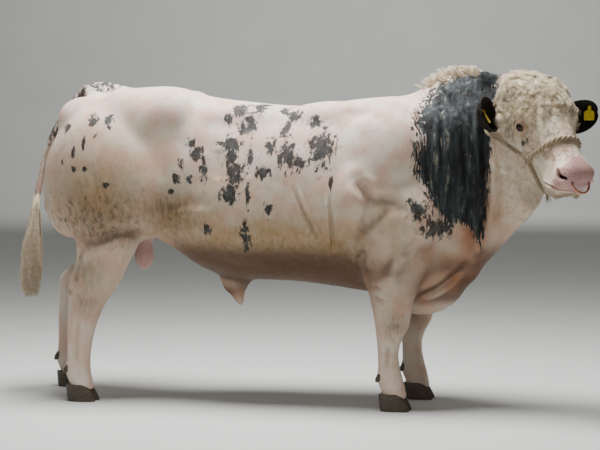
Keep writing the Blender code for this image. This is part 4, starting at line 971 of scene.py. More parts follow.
@dataclass(frozen=True)
class CoatFinish:
    """Short coat over skin, or the longer hair that grows from it; both read the same markings.

    The point colours "marks" hold the fields of blue roan, neck patch and tan skin, "bare" those of nose leather,
    lids and painted shade, and "extra" those of brown stains with painted shade in creases, long cream hair, and a
    buff tone with painted shade over the lower body. Noise of 15 to 60 mm breaks their edges, and noise of 1 to 3 mm
    stretched along the lie mixes light hairs into the dark ones. Colours are sRGB, patterns features a metre and
    depths metres.
    """

    cream: str = "#dfd2c2"
    pink: str = "#dab9a7"
    # Buff tone of the coat with painted shade over the lower body, legs and jaw.
    buff_and_shade: str = "#977b4e"
    slate: str = "#3b4245"
    charcoal: str = "#191b1d"
    # Painted shade of the neck patch where the neck turns at its deepest fold.
    painted_neck_shade: str = "#121416"
    light_grey: str = "#9d9888"
    tan: str = "#a0683f"
    # Colour the shade field darkens the coat to: painted shade under the belly, in the armpits, on the inner legs and
    # in the nostrils.
    under: str = "#43291f"
    # Brown of real stains on the legs, also used as painted shade in creases and under the thigh.
    stain_and_shade_brown: str = "#4f3a22"
    curl: str = "#ebe1ca"
    curl_shade: str = "#cdb992"
    nose: str = "#c59a92"
    nose_grey: str = "#a98d92"
    # Painted shade inside the nostrils.
    painted_nostril_shade: str = "#120b0b"
    freckle: str = "#54494a"
    lid: str = "#ad7f6c"
    # Painted shade between single hairs.
    painted_hair_shade: str = "#3a2f28"
    sheen: str = "#efe6da"
    clouds: float = 9.0
    locks: float = 34.0
    blots: float = 46.0
    waves: float = 60.0
    curls: float = 70.0
    streaks: float = 75.0
    freckles: float = 150.0
    pores: float = 330.0
    hairs: float = 420.0
    tuft_depth: float = 0.0008
    pore_depth: float = 0.0012
    hair_depth: float = 0.0016
    wave_depth: float = 0.004

    def material(self, name: str, hair: bool) -> bpy.types.Material:
        """Makes the material.

        Args:
            name: name of the material.
            hair: whether it is for tufts.

        Returns:
            The material.
        """
        n = Nodes(name)
        roan, neck, tan = n.fields("marks")
        nose, lid, shade = n.fields("bare")
        stain_and_shade, cream, buff_and_shade = n.fields("extra")
        broad = n.noise(self.clouds, 3.0)
        blots = n.noise(self.blots, 5.0, 0.66, n.stretch((1.0, 1.0, 0.55)), 0.4)
        fine = n.noise(self.hairs, 3.0, 0.6, n.stretch((1.0, 1.0, 0.28)))
        streak = n.noise(self.streaks, 4.0, 0.6, n.stretch((1.0, 1.0, 0.18)), 0.6)
        base = n.mix(n.range(broad, 0.35, 0.65), self.cream, self.pink)
        # Buff tone with painted shade over the lower body, legs and jaw.
        base = n.mix(n.times(buff_and_shade, n.range(blots, 0.2, 0.8, 0.60, 1.0)), base, self.buff_and_shade)
        curl = n.mix(n.range(n.noise(self.curls, 3.0), 0.42, 0.62), self.curl, self.curl_shade)
        base = n.mix(n.times(cream, 0.9), base, curl)
        base = n.mix(n.times(tan, n.range(broad, 0.2, 0.8, 0.7, 1.0)), base, self.tan)
        # Brown stains on the legs, and painted shade in the creases and under the thigh.
        base = n.mix(n.times(stain_and_shade, n.range(streak, 0.35, 0.65, 0.45, 1.0)), base, self.stain_and_shade_brown)
        # Painted shade under the belly, in the armpits, on the inner legs and in the nostrils.
        base = n.mix(n.times(shade, 0.85), base, self.under)
        edge = n.broken(roan, blots, 3.0)
        spots = n.times(n.range(edge, 0.30, 0.64), n.range(roan, 0.04, 0.22))
        spots = n.times(spots, n.range(fine, 0.34, 0.60, 0.84, 1.0))
        base = n.mix(spots, base, n.mix(n.range(blots, 0.45, 0.58, 0.2, 0.9), self.slate, self.charcoal))
        edge = n.broken(neck, streak, 2.6)
        patch = n.times(n.range(edge, 0.36, 0.60), n.range(neck, 0.02, 0.20))
        base = n.mix(patch, base, self.neck_grey(n, shade))
        pink = n.mix(n.range(n.noise(self.freckles, 3.0), 0.60, 0.66), self.nose, self.freckle)
        pink = n.mix(n.range(broad, 0.40, 0.60, 0.0, 0.5), pink, self.nose_grey)
        base = n.mix(n.range(n.broken(nose, blots, 1.2), 0.35, 0.65), base, pink)
        # Painted shade inside the nostrils.
        base = n.mix(n.times(n.range(nose, 0.5, 0.9), n.range(shade, 0.1, 0.6)), base, self.painted_nostril_shade)
        base = n.mix(lid, base, self.lid)
        # Painted shade between hairs: darker where the pattern of single hairs is low.
        base = n.mix(n.range(fine, 0.25, 0.75, 0.10, 0.0), base, self.painted_hair_shade, "MULTIPLY")
        if hair:
            return n.finish(Base_Color=base, Roughness=0.62, Normal=n.bump(fine, self.tuft_depth, 0.4),
                            Specular_IOR_Level=0.35)
        rough = n.math("SUBTRACT", 0.78, n.times(nose, 0.40))
        return n.finish(Base_Color=base, Roughness=rough, Normal=self.relief(n, fine, nose), Specular_IOR_Level=0.30,
                        Sheen_Weight=0.08, Sheen_Roughness=0.5, Sheen_Tint=self.sheen, Subsurface_Weight=0.04,
                        Subsurface_Radius=(0.01, 0.005, 0.003))

    def neck_grey(self, n: Nodes, shade: Socket) -> Socket:
        """Dark greys of the neck patch, streaked with light locks where it isn't in shade, and blackened by painted
        shade where the shade field is high.

        Args:
            n: the material's nodes.
            shade: the field of shade.

        Returns:
            The colour.
        """
        locks = n.noise(self.locks, 5.0, 0.66, n.stretch((1.0, 1.0, 0.17)), 0.35)
        grey = n.mix(n.range(locks, 0.38, 0.60), self.charcoal, self.slate)
        grey = n.mix(n.times(n.range(locks, 0.57, 0.72), n.math("SUBTRACT", 1.0, shade)), grey, self.light_grey)
        # Painted shade blackens the patch where the shade field is high.
        return n.mix(n.times(shade, 0.85), grey, self.painted_neck_shade)

    def relief(self, n: Nodes, fine: Socket, nose: Socket) -> Socket:
        """Waves and hairs of the coat, and pores where there is nose leather.

        Args:
            n: the material's nodes.
            fine: the pattern of single hairs.
            nose: the field of nose leather.

        Returns:
            The normal.
        """
        voronoi = n.add("ShaderNodeTexVoronoi", {"feature": "DISTANCE_TO_EDGE"}, Vector=n.place, Scale=self.pores)
        leather = n.bump(voronoi.outputs[0], self.pore_depth, 0.7)
        fur = n.bump(fine, self.hair_depth, 0.55)
        wave = n.noise(self.waves, 5.0, 0.6, n.stretch((1.0, 1.0, 0.5)))
        fur = n.bump(wave, self.wave_depth, 0.35, fur)
        return n.add("ShaderNodeMix", {"data_type": "VECTOR"}, i0=nose, i4=fur, i5=leather).outputs[1]


# Blue roan spots of the flanks: X, Z and half sizes, in millimetres
SPOTS = (
    (-911, 1333, 17, 24), (-838, 1328, 17, 28), (-1056, 1291, 17, 19), (-891, 1260, 9, 12), (-944, 1216, 7, 24),
    (-995, 1179, 7, 24), (-1059, 1132, 9, 9), (-991, 1102, 12, 12), (-936, 1100, 9, 9), (-832, 1029, 12, 12),
    (-453, 1219, 19, 21), (-417, 1175, 31, 24), (-497, 1133, 12, 24), (-381, 1106, 17, 42), (-520, 1063, 19, 19),
    (-457, 1055, 17, 19), (-547, 1002, 14, 9), (-231, 1376, 35, 26), (-278, 1337, 17, 24), (-140, 1393, 26, 33),
    (-177, 1332, 21, 19), (-177, 1293, 40, 31), (-250, 1222, 42, 28), (-246, 1160, 24, 35), (-225, 1080, 42, 47),
    (-247, 991, 33, 45), (-153, 1158, 14, 38), (-155, 999, 9, 52), (-61, 1202, 24, 31), (-85, 1090, 31, 24),
    (-24, 1374, 24, 14), (38, 1346, 26, 24), (3, 1286, 19, 38), (19, 1166, 38, 54), (80, 1134, 21, 31),
    (134, 1314, 21, 28), (186, 1202, 47, 78), (238, 1038, 7, 33), (-64, 919, 17, 26), (-364, 824, 19, 19),
    (-173, 800, 17, 57), (630, 928, 33, 47), (699, 840, 50, 33),
)
# Outline of the dark patch on the neck: X, Z, in millimetres
NECK_PATCH = (
    (875, 1600), (868, 1585), (760, 1535), (650, 1482), (636, 1442), (612, 1387), (601, 1314), (622, 1241),
    (613, 1174), (604, 1097), (645, 1034), (675, 971), (707, 907), (753, 851), (807, 869), (841, 842), (863, 767),
    (879, 739), (896, 832), (908, 924), (925, 1061), (940, 1196), (955, 1287), (975, 1399), (990, 1476),
    (960, 1600),
)
# Soft fields of colour: name, centre, radii, strength. The shade washes are painted shade in the armpits; the buff
# ones are a buff tone with painted shade over the lower body, legs and throat; the stain ones are brown stains on the
# legs with painted shade under the thigh, on the flank, behind the shoulder and along the belly.
WASHES = (
    ("tan", (0.84, 0, 0.84), (0.12, 0.6, 0.19), 1.0), ("tan", (0.78, 0, 0.62), (0.18, 0.6, 0.15), 1.0),
    ("tan", (0.62, 0, 0.55), (0.16, 0.4, 0.09), 0.8), ("tan", (-0.31, 0, 0.52), (0.08, 0.08, 0.07), 0.8),
    ("shade", (0.36, -0.22, 0.66), (0.07, 0.14, 0.12), 0.9), ("shade", (0.36, 0.22, 0.66), (0.07, 0.14, 0.12), 0.9),
    ("tan", (0.3, 0, 0.58), (0.14, 0.6, 0.08), 0.8),
    ("stain_and_shade", (-0.9, 0, 0.9), (0.26, 0.9, 0.14), 0.6), ("stain_and_shade", (-0.86, 0, 0.8), (0.2, 0.9, 0.06), 0.9),
    ("stain_and_shade", (-0.95, 0, 0.62), (0.08, 0.9, 0.09), 0.55), ("stain_and_shade", (-0.97, 0, 0.47), (0.07, 0.9, 0.07), 0.6),
    ("stain_and_shade", (-0.56, 0, 0.9), (0.14, 0.9, 0.1), 0.8), ("stain_and_shade", (0.51, 0, 0.4), (0.07, 0.9, 0.06), 0.6),
    ("stain_and_shade", (0.4, 0, 0.55), (0.04, 0.9, 0.12), 0.5), ("stain_and_shade", (-1.06, 0, 0.52), (0.02, 0.9, 0.02), 0.9),
    ("stain_and_shade", (0.1, 0, 0.66), (0.45, 0.9, 0.07), 0.7), ("stain_and_shade", (0.3, 0, 0.88), (0.08, 0.9, 0.16), 0.15),
    ("buff_and_shade", (-0.88, 0, 0.98), (0.32, 0.9, 0.3), 1.2), ("buff_and_shade", (-0.5, 0, 0.88), (0.36, 0.9, 0.2), 1.1),
    ("buff_and_shade", (-0.05, 0, 0.74), (0.7, 0.9, 0.2), 1.5), ("buff_and_shade", (0.3, 0, 0.82), (0.16, 0.9, 0.18), 0.7),
    ("buff_and_shade", (0.5, 0, 0.84), (0.18, 0.9, 0.2), 0.9), ("buff_and_shade", (0.5, 0, 0.45), (0.14, 0.9, 0.22), 0.5),
    ("buff_and_shade", (-0.93, 0, 0.6), (0.18, 0.9, 0.24), 0.7), ("buff_and_shade", (1.0, -0.1, 0.98), (0.18, 0.5, 0.22), 0.9),
    ("buff_and_shade", (0.05, 0, 0.95), (0.8, 0.9, 0.16), 0.35),
)
# Fields of colour by the layer of point colours that holds them
LAYERS = {"marks": ("roan", "neck", "tan"), "bare": ("nose", "lid", "shade"), "extra": ("stain_and_shade", "cream", "buff_and_shade")}
FIELDS = tuple(key for keys in LAYERS.values() for key in keys)


def inside_distance(points: Array, outline: Array) -> Array:
    """Distance to a closed outline in a plane, positive inside it.

    Args:
        points: two columns.
        outline: corners of the outline.

    Returns:
        The distance, by the nearest edge, with the sign from counting crossed edges.
    """
    best = np.full(len(points), 1e9)
    inside = np.zeros(len(points), bool)
    for a, b in zip(outline, np.roll(outline, -1, axis=0)):
        t = np.clip((points - a) @ (b - a) / max((b - a) @ (b - a), 1e-12), 0, 1)
        best = np.minimum(best, np.linalg.norm(points - a - t[:, None] * (b - a), axis=1))
        crosses = (a[1] > points[:, 1]) != (b[1] > points[:, 1])
        reach = (b[0] - a[0]) * (points[:, 1] - a[1]) / (b[1] - a[1] + 1e-12) + a[0]
        inside ^= crosses & (points[:, 0] < reach)
    return np.where(inside, best, -best)


@dataclass
class Markings:
    """Fields of colour over the skin, kept as point colours that skin and hair share."""

    skin: Skin
    far_shift: float = 0.045
    spot_falloff: float = 0.62
    wash_falloff: float = 1.2
    dock_roan: float = 0.62
    cheek_roan: float = 0.55

    def lay(self) -> None:
        """Works the fields out, from 0 to 1 a point, and writes them to the skin."""
        mesh = self.skin.obj.data
        self.points, self.normals = mesh_points(mesh), mesh_normals(mesh)
        self.headness = self.skin.headness(self.points)
        self.fields = {key: np.zeros(len(self.points)) for key in FIELDS}
        self.dress_body()
        self.dress_head()
        self.skin.fields = np.stack([self.fields[key] for key in FIELDS], -1)
        write_fields(mesh, self.skin.fields)

    def lift(self, name: str, values: Array) -> None:
        """Lifts a field to the given values where it is lower."""
        self.fields[name] = np.maximum(self.fields[name], values)

    def dress_body(self) -> None:
        """Fields of trunk, neck and legs: bells round named places, an outline, and painted shade where the skin faces
        down or inward, in the creases and at the turn of the neck.
        """
        x, y, z = self.points.T
        body = 1 - self.headness
        for k, (cx, cz, rx, rz) in enumerate(np.array(SPOTS) / 1000):
            shift = self.far_shift * math.sin(2.4 * k)
            near = np.exp(-(((x - cx) / rx) ** 2 + ((z - cz) / rz) ** 2) * self.spot_falloff)
            far = np.exp(-(((x - cx - shift) / rx) ** 2 + ((z - cz + 0.6 * shift) / rz) ** 2) * self.spot_falloff)
            self.lift("roan", np.where(y < 0, near, far) * step(0.02, 0.10, np.abs(y)))
        dock, along = line_distance(self.points, np.array([(r[0], 0.0, r[1] + 0.02) for r in TAIL[1:6]]))
        self.lift("roan", self.dock_roan * step(0.085, 0.055, dock) * step(1.0, 0.75, along) * body)
        gap = inside_distance(np.stack([x, z], -1), np.array(NECK_PATCH) / 1000)
        soft = 0.06 + 0.05 * step(0.74, 0.64, x) * step(1.10, 1.20, z)
        self.lift("neck", np.clip(0.5 + gap / soft, 0, 1) * (1 - step(0.35, 0.8, self.headness)))
        # Painted shade: the darkest band of the neck patch, where the neck turns at X 0.91.
        self.lift("shade", 0.9 * self.fields["neck"] * bell(x - 0.912, 0.030) * step(1.46, 1.30, z))
        for name, centre, radii, strength in WASHES:
            away = (self.points - np.array(centre)) / np.array(radii)
            wash = np.clip(np.exp(-np.sum(away ** 2, axis=1) * self.wash_falloff) * strength, 0, 1)
            self.lift(name, wash * body)
        # Painted shade where the skin faces down under the belly and faces inward between the legs.
        down, inward = -self.normals[:, 2], -self.normals[:, 1] * np.sign(y)
        below = step(0.05, 0.65, down) * step(0.82, 0.70, z) * step(0.46, 0.52, z) * step(-0.70, -0.50, x)
        inner = step(0.2, 0.9, inward) * step(0.2, 0.0, np.abs(y) - 0.16) * step(0.84, 0.6, z)
        self.lift("shade", np.maximum(0.95 * below, 0.35 * inner * body))
        # Painted shade: the creases of the folds darken.
        self.lift("stain_and_shade", 0.22 * self.skin.crease * body)
        purse = np.linalg.norm((self.points - np.array([-0.776, 0, 0.69])) / np.array([0.07, 0.065, 0.10]), axis=1)
        self.lift("nose", step(1.15, 0.95, purse) * 0.8)

    def dress_head(self) -> None:
        """Fields of the head: nose leather over the lip, painted shade in the nostrils and under the jaw, tan lids and
        the cream of the forehead.
        """
        s, out, t = head_coords(self.points).T
        head, hollow = self.headness, self.skin.hollow
        grey = np.exp(-((s - 0.268) / 0.022) ** 2 - ((t + 0.090) / 0.034) ** 2) * head
        self.lift("roan", self.cheek_roan * grey)
        lip = t - np.interp(s, *np.array(MOUTH)[:, ::2].T)
        muzzle = step(0.492, 0.536, s + 0.10 * np.clip(-t - 0.06, 0, 1) + 0.03 * step(0.07, 0.02, np.abs(out))) * head
        self.lift("nose", np.maximum(muzzle * step(-0.014, -0.004, lip), hollow))
        # Painted shade inside the nostril hollows.
        self.lift("shade", hollow)
        for side in Side:
            centre, long_way, up_way, gaze = eye_frame(side)
            away = self.points - centre
            radial = np.hypot((away @ long_way) / 1.25, away @ up_way)
            ring = step(0.040, 0.022, radial) * (away @ gaze > -0.02)
            front = away - long_way * 0.030 + head_way((0, side.value, 0)) * 0.040
            front = np.exp(-np.sum((front / 0.034) ** 2, axis=1))
            self.lift("lid", np.maximum(0.72 * ring, 0.90 * front) * head)
        self.lift("cream", head * (0.35 + 0.65 * step(0.34, 0.20, s) * step(-0.16, -0.04, t)))
        # Painted shade under the jaw.
        self.lift("buff_and_shade", 0.35 * head * step(-0.10, -0.22, t))


def write_fields(mesh: bpy.types.Mesh, fields: Array) -> None:
    """Writes nine fields to three point colours of a mesh."""
    for k, name in enumerate(LAYERS):
        write_colour(mesh, name, fields[:, 3 * k:3 * k + 3])


def write_colour(mesh: bpy.types.Mesh, name: str, values: Array) -> None:
    """Writes the first columns of one layer of point colours; the others are 1."""
    colour = np.ones((len(values), 4), np.float32)
    colour[:, :values.shape[1]] = values
    mesh.color_attributes.new(name, "FLOAT_COLOR", "POINT").data.foreach_set("color", colour.ravel())


def ear_ways(side: Side) -> Tuple[Array, Array]:
    """Directions of one ear.

    Args:
        side: side of the head.

    Returns:
        The way along it, and the way out of its cup.
    """
    flip = np.array([1, side.value, 1])
    reach = head_way(np.array(EAR_REACH[side]) * flip)
    opening = head_way(np.array(EAR_OPENING[side]) * flip)
    return reach, unit(opening - reach * (opening @ reach))


@dataclass(frozen=True)
class Ears:
    """Both ears as thick cups, dark outside and nearly black inside."""

    wall: float = 0.0075
    rows: int = 30
    columns: int = 27
    sunk: float = 0.006
    bend: float = 0.020
    finish: Finish = Finish("dark_ear_coat", "#0b0908", "#27211c", 160.0, 0.80, 0.0015, (1, 1, 0.4), specular=0.2)

    def build(self) -> None:
        """Makes both ears: an inner and an outer face, with a round rim between them."""
        hide = self.finish.material()
        u = np.sin(np.pi / 2 * np.linspace(0, 1, self.rows)) ** 0.85
        turn = np.linspace(-1, 1, self.columns)
        for side in Side:
            inner = self.face(side, u, turn, 0.0)
            outer = self.face(side, u, turn[::-1], self.wall)
            rim = (inner[:, -1:] + outer[:, :1]) / 2
            rim = rim + (rim - (inner[:, -2:-1] + outer[:, 1:2]) / 2) * 0.3
            ear = Surface()
            ear.grid(np.concatenate([inner, rim, outer], axis=1))
            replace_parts(ear.build("ear_%s_hide" % side.label, hide, "ear_hide"), "ear_" + side.label)

    @staticmethod
    def half_width(u: Array) -> Array:
        """Half width at a share of the length: a stalk that opens, then a round tip."""
        tip = 0.012 + 0.059 * np.sqrt(np.clip(1 - ((u - 0.5) / 0.5) ** 2, 0, 1))
        return np.where(u < 0.5, 0.026 + 0.045 * np.sin(np.pi * np.clip(u, 0, 0.5)), tip)

    def face(self, side: Side, u: Array, turn: Array, wall: float) -> Array:
        """Points of one face of the cup.

        Args:
            side: side of the head.
            u: share of the length for each row.
            turn: from -1 to 1 across the cup.
            wall: how far outside the inner face.

        Returns:
            Rows by columns by 3: arcs of a circle whose opening angle shrinks and whose radius grows along the ear.
        """
        reach, opening = ear_ways(side)
        width = np.cross(opening, reach)
        base = mirrored(EAR_BASE, side) - reach * self.sunk
        u, turn = u[:, None], turn[None, :]
        spread = np.radians(100 - 48 * u)
        radius = self.half_width(u) / np.sin(np.minimum(spread, np.pi / 2))
        ripple = 0.0006 * np.sin(turn * 9 + 3 * u) * u
        angle = spread * turn
        lift = radius * np.cos(spread) - (radius + wall) * np.cos(angle) - self.bend * u * u + ripple
        return (base + reach * (u * EAR_LENGTH)[..., None] + width * ((radius + wall) * np.sin(angle))[..., None]
                + opening * lift[..., None])


@dataclass(frozen=True)
class Eyes:
    """Eyeballs with iris and wide pupil, and the moist rims of the lids."""

    cornea: float = 0.045
    pupil: Tuple[float, float] = (0.44, 0.27)
    rim_radius: float = 0.0020
    rim_inset: float = 0.0004
    rim_finish: Finish = Finish("moist_lid_rim", "#170d0c", "#33201c", 300.0, 0.42, 0.0004)

    def build(self) -> None:
        """Makes both eyes with their rims."""
        wet, rim_skin = self.eyeball_material(), self.rim_finish.material()
        for side in Side:
            self.eyeball(side, wet)
            self.lid_rim(side, rim_skin)

    @staticmethod
    def eyeball_material() -> bpy.types.Material:
        """Brown iris in dark white, with a nearly black pupil, under a wet coat."""
        n = Nodes("wet_eyeball")
        distance, pupil, _ = n.fields("iris")
        colour = n.mix(n.range(n.noise(900.0, 2.0), 0.3, 0.7), "#1c0f09", "#3a2213")
        colour = n.mix(n.range(distance, 0.60, 0.68), colour, "#4a3a30")
        colour = n.mix(n.range(pupil, 0.48, 0.52), "#030304", colour)
        return n.finish(Base_Color=colour, Roughness=0.10, Coat_Weight=0.22, Coat_Roughness=0.02,
                        Specular_IOR_Level=0.22)

    def eyeball(self, side: Side, material: bpy.types.Material) -> None:
        """Makes an eyeball: a ball whose radius grows by a bell at the cornea.

        Args:
            side: side of the head.
            material: what it is made of.
        """
        centre, long_way, up_way, out = eye_frame(side)
        local = sphere(48, 40)[::-1]
        x, y, z = np.moveaxis(local, -1, 0)
        size = EYE_RADIUS * (1 + self.cornea * bell(np.hypot(x, y), 0.42) * (z > 0))
        ball = Surface()
        ball.grid(centre + (x * size)[..., None] * long_way + (y * size)[..., None] * up_way
                  + (z * size)[..., None] * out)
        eye = ball.build("eyeball_" + side.label, material, "eyeball")
        local = (mesh_points(eye.data) - centre) / EYE_RADIUS
        x, y, z = local @ long_way, local @ up_way, local @ out
        pupil = np.clip(np.hypot(x / self.pupil[0], y / self.pupil[1]) * 0.5, 0, 1)
        write_colour(eye.data, "iris", np.where((z > 0)[:, None], np.stack([np.hypot(x, y), pupil], -1), 1.0))
        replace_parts(eye, "eye_" + side.label)

    def lid_rim(self, side: Side, material: bpy.types.Material) -> None:
        """Makes the moist rim: a tube along the edge of the opening, just over the eyeball.

        Args:
            side: side of the head.
            material: what it is made of.
        """
        centre, long_way, up_way, out = eye_frame(side)
        a = np.linspace(0, 2 * np.pi, 64, endpoint=False)
        x = (EYE_HALF - self.rim_inset) * np.cos(a)
        top, bottom = lid_edge(x, np.array(EYE_OPEN) - self.rim_inset)
        y = np.where(np.sin(a) > 0, top, -bottom)
        z = np.sqrt((EYE_RADIUS + 0.0012) ** 2 - x ** 2 - y ** 2)
        path = centre + x[:, None] * long_way + y[:, None] * up_way + z[:, None] * out
        rim = Surface()
        rim.tube(np.vstack([path, path[:1]]), self.rim_radius, 8, tuple(out))
        rim.build("lid_rim_" + side.label, material, "hide")


@dataclass(frozen=True)
class Halter:
    """Twisted rope halter: over the poll and cheeks, round the nose and under the chin, knotted at both cheeks."""

    tree: BVHTree
    height: float = 0.0080
    radii: Point = (0.0070, 0.0118, 0.0080)
    lay: float = 6.2
    strands: int = 3
    gap: float = 0.0035
    knot_size: float = 0.0075
    knot_radius: float = 0.0070
    loose: int = 26
    finish: Finish = Finish("twisted_fibre_rope", "#6f5d45", "#b9a98c", 900.0, 0.85, 0.0010)

    def build(self) -> None:
        """Makes the halter."""
        stuff = self.finish.material()
        rope = Surface()
        routes = [self.route(rows) for rows in (POLL_ROUTE, NOSE_ROUTE, CHIN_ROUTE)]
        for path, radius in zip(routes, self.radii):
            self.twist(rope, path, radius)
        for path in (routes[1], routes[1][::-1]):
            self.knot(rope, path[0], self.lift(path[:3])[0])
        end = routes[2][int(len(routes[2]) * 0.40)]
        self.frayed(rope, end + self.lift(end[None])[0] * 0.003)
        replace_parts(rope.build("rope_halter", stuff, "rope"), "halter")

    def lift(self, path: Array) -> Array:
        """The way out of the skin at each point of a path."""
        return np.array([self.tree.find_nearest(Vector(p))[1][:] for p in path])

    def route(self, rows: Sequence[Tuple[float, float]]) -> Array:
        """A line over the skin, pulled straight where the skin lets it.

        Args:
            rows: stations, and angles round the head.

        Returns:
            Points at least the rope's height over the skin.
        """
        table = np.array(rows, float)
        table[:, 1] = np.degrees(np.unwrap(np.radians(table[:, 1])))
        points = []
        for s, angle in catmull(table, 4):
            way = head_way((0, math.sin(math.radians(angle)), math.cos(math.radians(angle))))
            start = head_point((s, 0, -0.12)) + way * 0.6
            points.append(np.array(self.tree.ray_cast(Vector(start), Vector(-way))[0][:]) + way * self.height)
        path = np.array(points)
        for _ in range(10):
            path[1:-1] = 0.5 * path[1:-1] + 0.25 * (path[:-2] + path[2:])
            for i, p in enumerate(path):
                spot, normal = self.tree.find_nearest(Vector(p))[:2]
                rise = (p - np.array(spot[:])) @ np.array(normal[:])
                if rise < self.height:
                    path[i] = p + np.array(normal[:]) * (self.height - rise)
        return path

    @staticmethod
    def even(path: Array, gap: float) -> Array:
        """Spaces the points of a path evenly.

        Args:
            path: its points.
            gap: distance from one to the next.

        Returns:
            New points on a smooth curve through the old ones.
        """
        fine = catmull(path, 8)
        along = np.concatenate([[0], np.cumsum(np.linalg.norm(np.diff(fine, axis=0), axis=1))])
        marks = np.linspace(0, along[-1], max(4, int(along[-1] / gap)))
        return np.stack([np.interp(marks, along, fine[:, k]) for k in range(3)], -1)

    def twist(self, surface: Surface, path: Array, radius: float) -> None:
        """Lays the strands round the path, each a helix of half the rope's radius.

        Args:
            surface: what they are added to.
            path: middle of the rope.
            radius: its radius.
        """
        path = self.even(path, self.gap)
        way = unit(np.gradient(path, axis=0))
        up = unit(self.lift(path))
        across = unit(np.cross(way, up))
        up = np.cross(across, way)
        turn = 2 * np.pi * np.arange(len(path)) * self.gap / (radius * self.lay)
        for k in range(self.strands):
            a = turn + 2 * np.pi * k / self.strands
            middle = path + (across * np.cos(a)[:, None] + up * np.sin(a)[:, None]) * radius * 0.56
            flow = unit(np.gradient(middle, axis=0))
            side = unit(np.cross(flow, up + 0.01))
            surface.grid(rounds(middle, side, np.cross(side, flow), radius * 0.47, 8))

    def frayed(self, surface: Surface, centre: Array) -> None:
        """Adds loose ends of rope under the chin: strands that fan out and droop.

        Args:
            surface: what they are added to.
            centre: where they leave the halter.
        """
        chance = np.random.default_rng(61)
        u = np.linspace(0, 1, 7)[:, None]
        for _ in range(self.loose):
            way = head_way((0.9 + 0.2 * chance.normal(), 0.35 * chance.normal(), -0.45 + 0.3 * chance.normal()))
            path = centre + way * u * chance.uniform(0.025, 0.050) - np.array([0, 0, 0.008]) * u ** 2
            surface.tube(path, 0.0011 * (1.2 - u[:, 0]), 5, (0.3, 0.8, 0.2))

    def knot(self, surface: Surface, centre: Array, out: Array) -> None:
        """Adds a trefoil lying on the cheek: (sin t + 2 sin 2t, cos t - 2 cos 2t, -sin 3t).

        Args:
            surface: what it is added to.
            centre: its place.
            out: the way out of the cheek.
        """
        t = np.linspace(0, 2 * np.pi, 60)
        along = head_way((1, 0, 0))
        along = unit(along - out * (along @ out))
        across = np.cross(out, along)
        path = (centre + out * 0.004 + ((np.sin(t) + 2 * np.sin(2 * t)) * self.knot_size)[:, None] * along
                + ((np.cos(t) - 2 * np.cos(2 * t)) * self.knot_size)[:, None] * across
                + (-np.sin(3 * t) * 0.004)[:, None] * out)
        surface.tube(path, self.knot_radius, 10, tuple(out))


@dataclass(frozen=True)
class NoseRing:
    """Copper ring that hangs from the nose: where it goes through, its radius, its thickness and its finish."""

    hole: Point = (0.546, 0.0, -0.052)
    radius: float = 0.0435
    thickness: float = 0.0052
    finish: Finish = Finish("worn_copper", "#a4624c", "#e0a288", 220.0, 0.28, 0.0002, metallic=1.0)

    def build(self) -> None:
        """Makes the ring."""
        copper = self.finish.material()
        hang, across = head_way((0.82, 0, -0.57)), head_way((0, 1, 0))
        centre = head_point(self.hole) + hang * self.radius
        a = np.linspace(0, 2 * np.pi, 97)
        path = centre + self.radius * (np.cos(a)[:, None] * hang + np.sin(a)[:, None] * across)
        ring = Surface()
        ring.tube(path, self.thickness, 16, tuple(np.cross(hang, across)))
        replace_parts(ring.build("copper_nose_ring", copper, "copper"), "nose_ring")


@dataclass(frozen=True)
class EarTags:
    """Blank tag in each ear: a panel with a neck, bowed a little, and the stud that holds it."""

    half_width: float = 0.0265
    half_outline: Sequence[Tuple[float, float]] = (
        (0.007, -0.006), (0.0075, 0.008), (0.012, 0.014), (0.024, 0.020), (0.0265, 0.025), (0.0265, 0.058),
        (0.023, 0.0615))
    layers: Sequence[Tuple[float, float]] = ((0.0, 0.97), (0.0003, 1.0), (0.0019, 1.0), (0.0022, 0.97))
    bow: float = 0.0012
    stud: Sequence[Tuple[float, float]] = ((0.0, 0.0085), (0.002, 0.0085), (0.0035, 0.0068), (0.0042, 0.003))
    pin: Tuple[float, float] = (0.020, 0.0035)
    finish: Finish = Finish("yellow_tag_plastic", "#b89a0c", "#d9bd22", 60.0, 0.42, 0.0002)

    def build(self) -> None:
        """Makes both tags."""
        plastic = self.finish.material()
        for side in Side:
            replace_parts(self.tag(side).build("ear_tag_" + side.label, plastic, "tag"), "tag_" + side.label)

    def tag(self, side: Side) -> Surface:
        """Shapes one tag.

        Args:
            side: side of the head.

        Returns:
            Its surface.
        """
        reach, opening = ear_ways(side)
        share, rise, depth, tilt = TAG_SEAT[side]
        down = np.array([0, 0, -1.0])
        down = unit(down - opening * (down @ opening))
        top = mirrored(EAR_BASE, side) + reach * share - down * rise + opening * depth
        down = unit(down + opening * tilt)
        across = unit(np.cross(opening, down))
        opening = np.cross(down, across)
        half = np.array(self.half_outline)
        outline = np.vstack([half[:1] * (-1, 1), half, half[:0:-1] * (-1, 1)])
        middle = outline.mean(0)
        bow = self.bow * np.cos(outline[:, 0] / self.half_width * np.pi / 2)
        rings = []
        for lift, size in self.layers:
            flat = middle + (outline - middle) * size
            rings.append(top + flat[:, :1] * across + flat[:, 1:] * down + opening * (lift + bow[:, None]))
        tag = Surface()
        tag.grid(np.array(rings))
        height, size = np.array(self.stud).T
        spot = top + down * 0.001
        tag.grid(rounds(spot + opening * (self.layers[-1][0] + height[:, None]), across, down, size, 20))
        tag.tube(np.linspace(spot, spot - opening * self.pin[0], 4), self.pin[1], 10, tuple(across))
        return tag


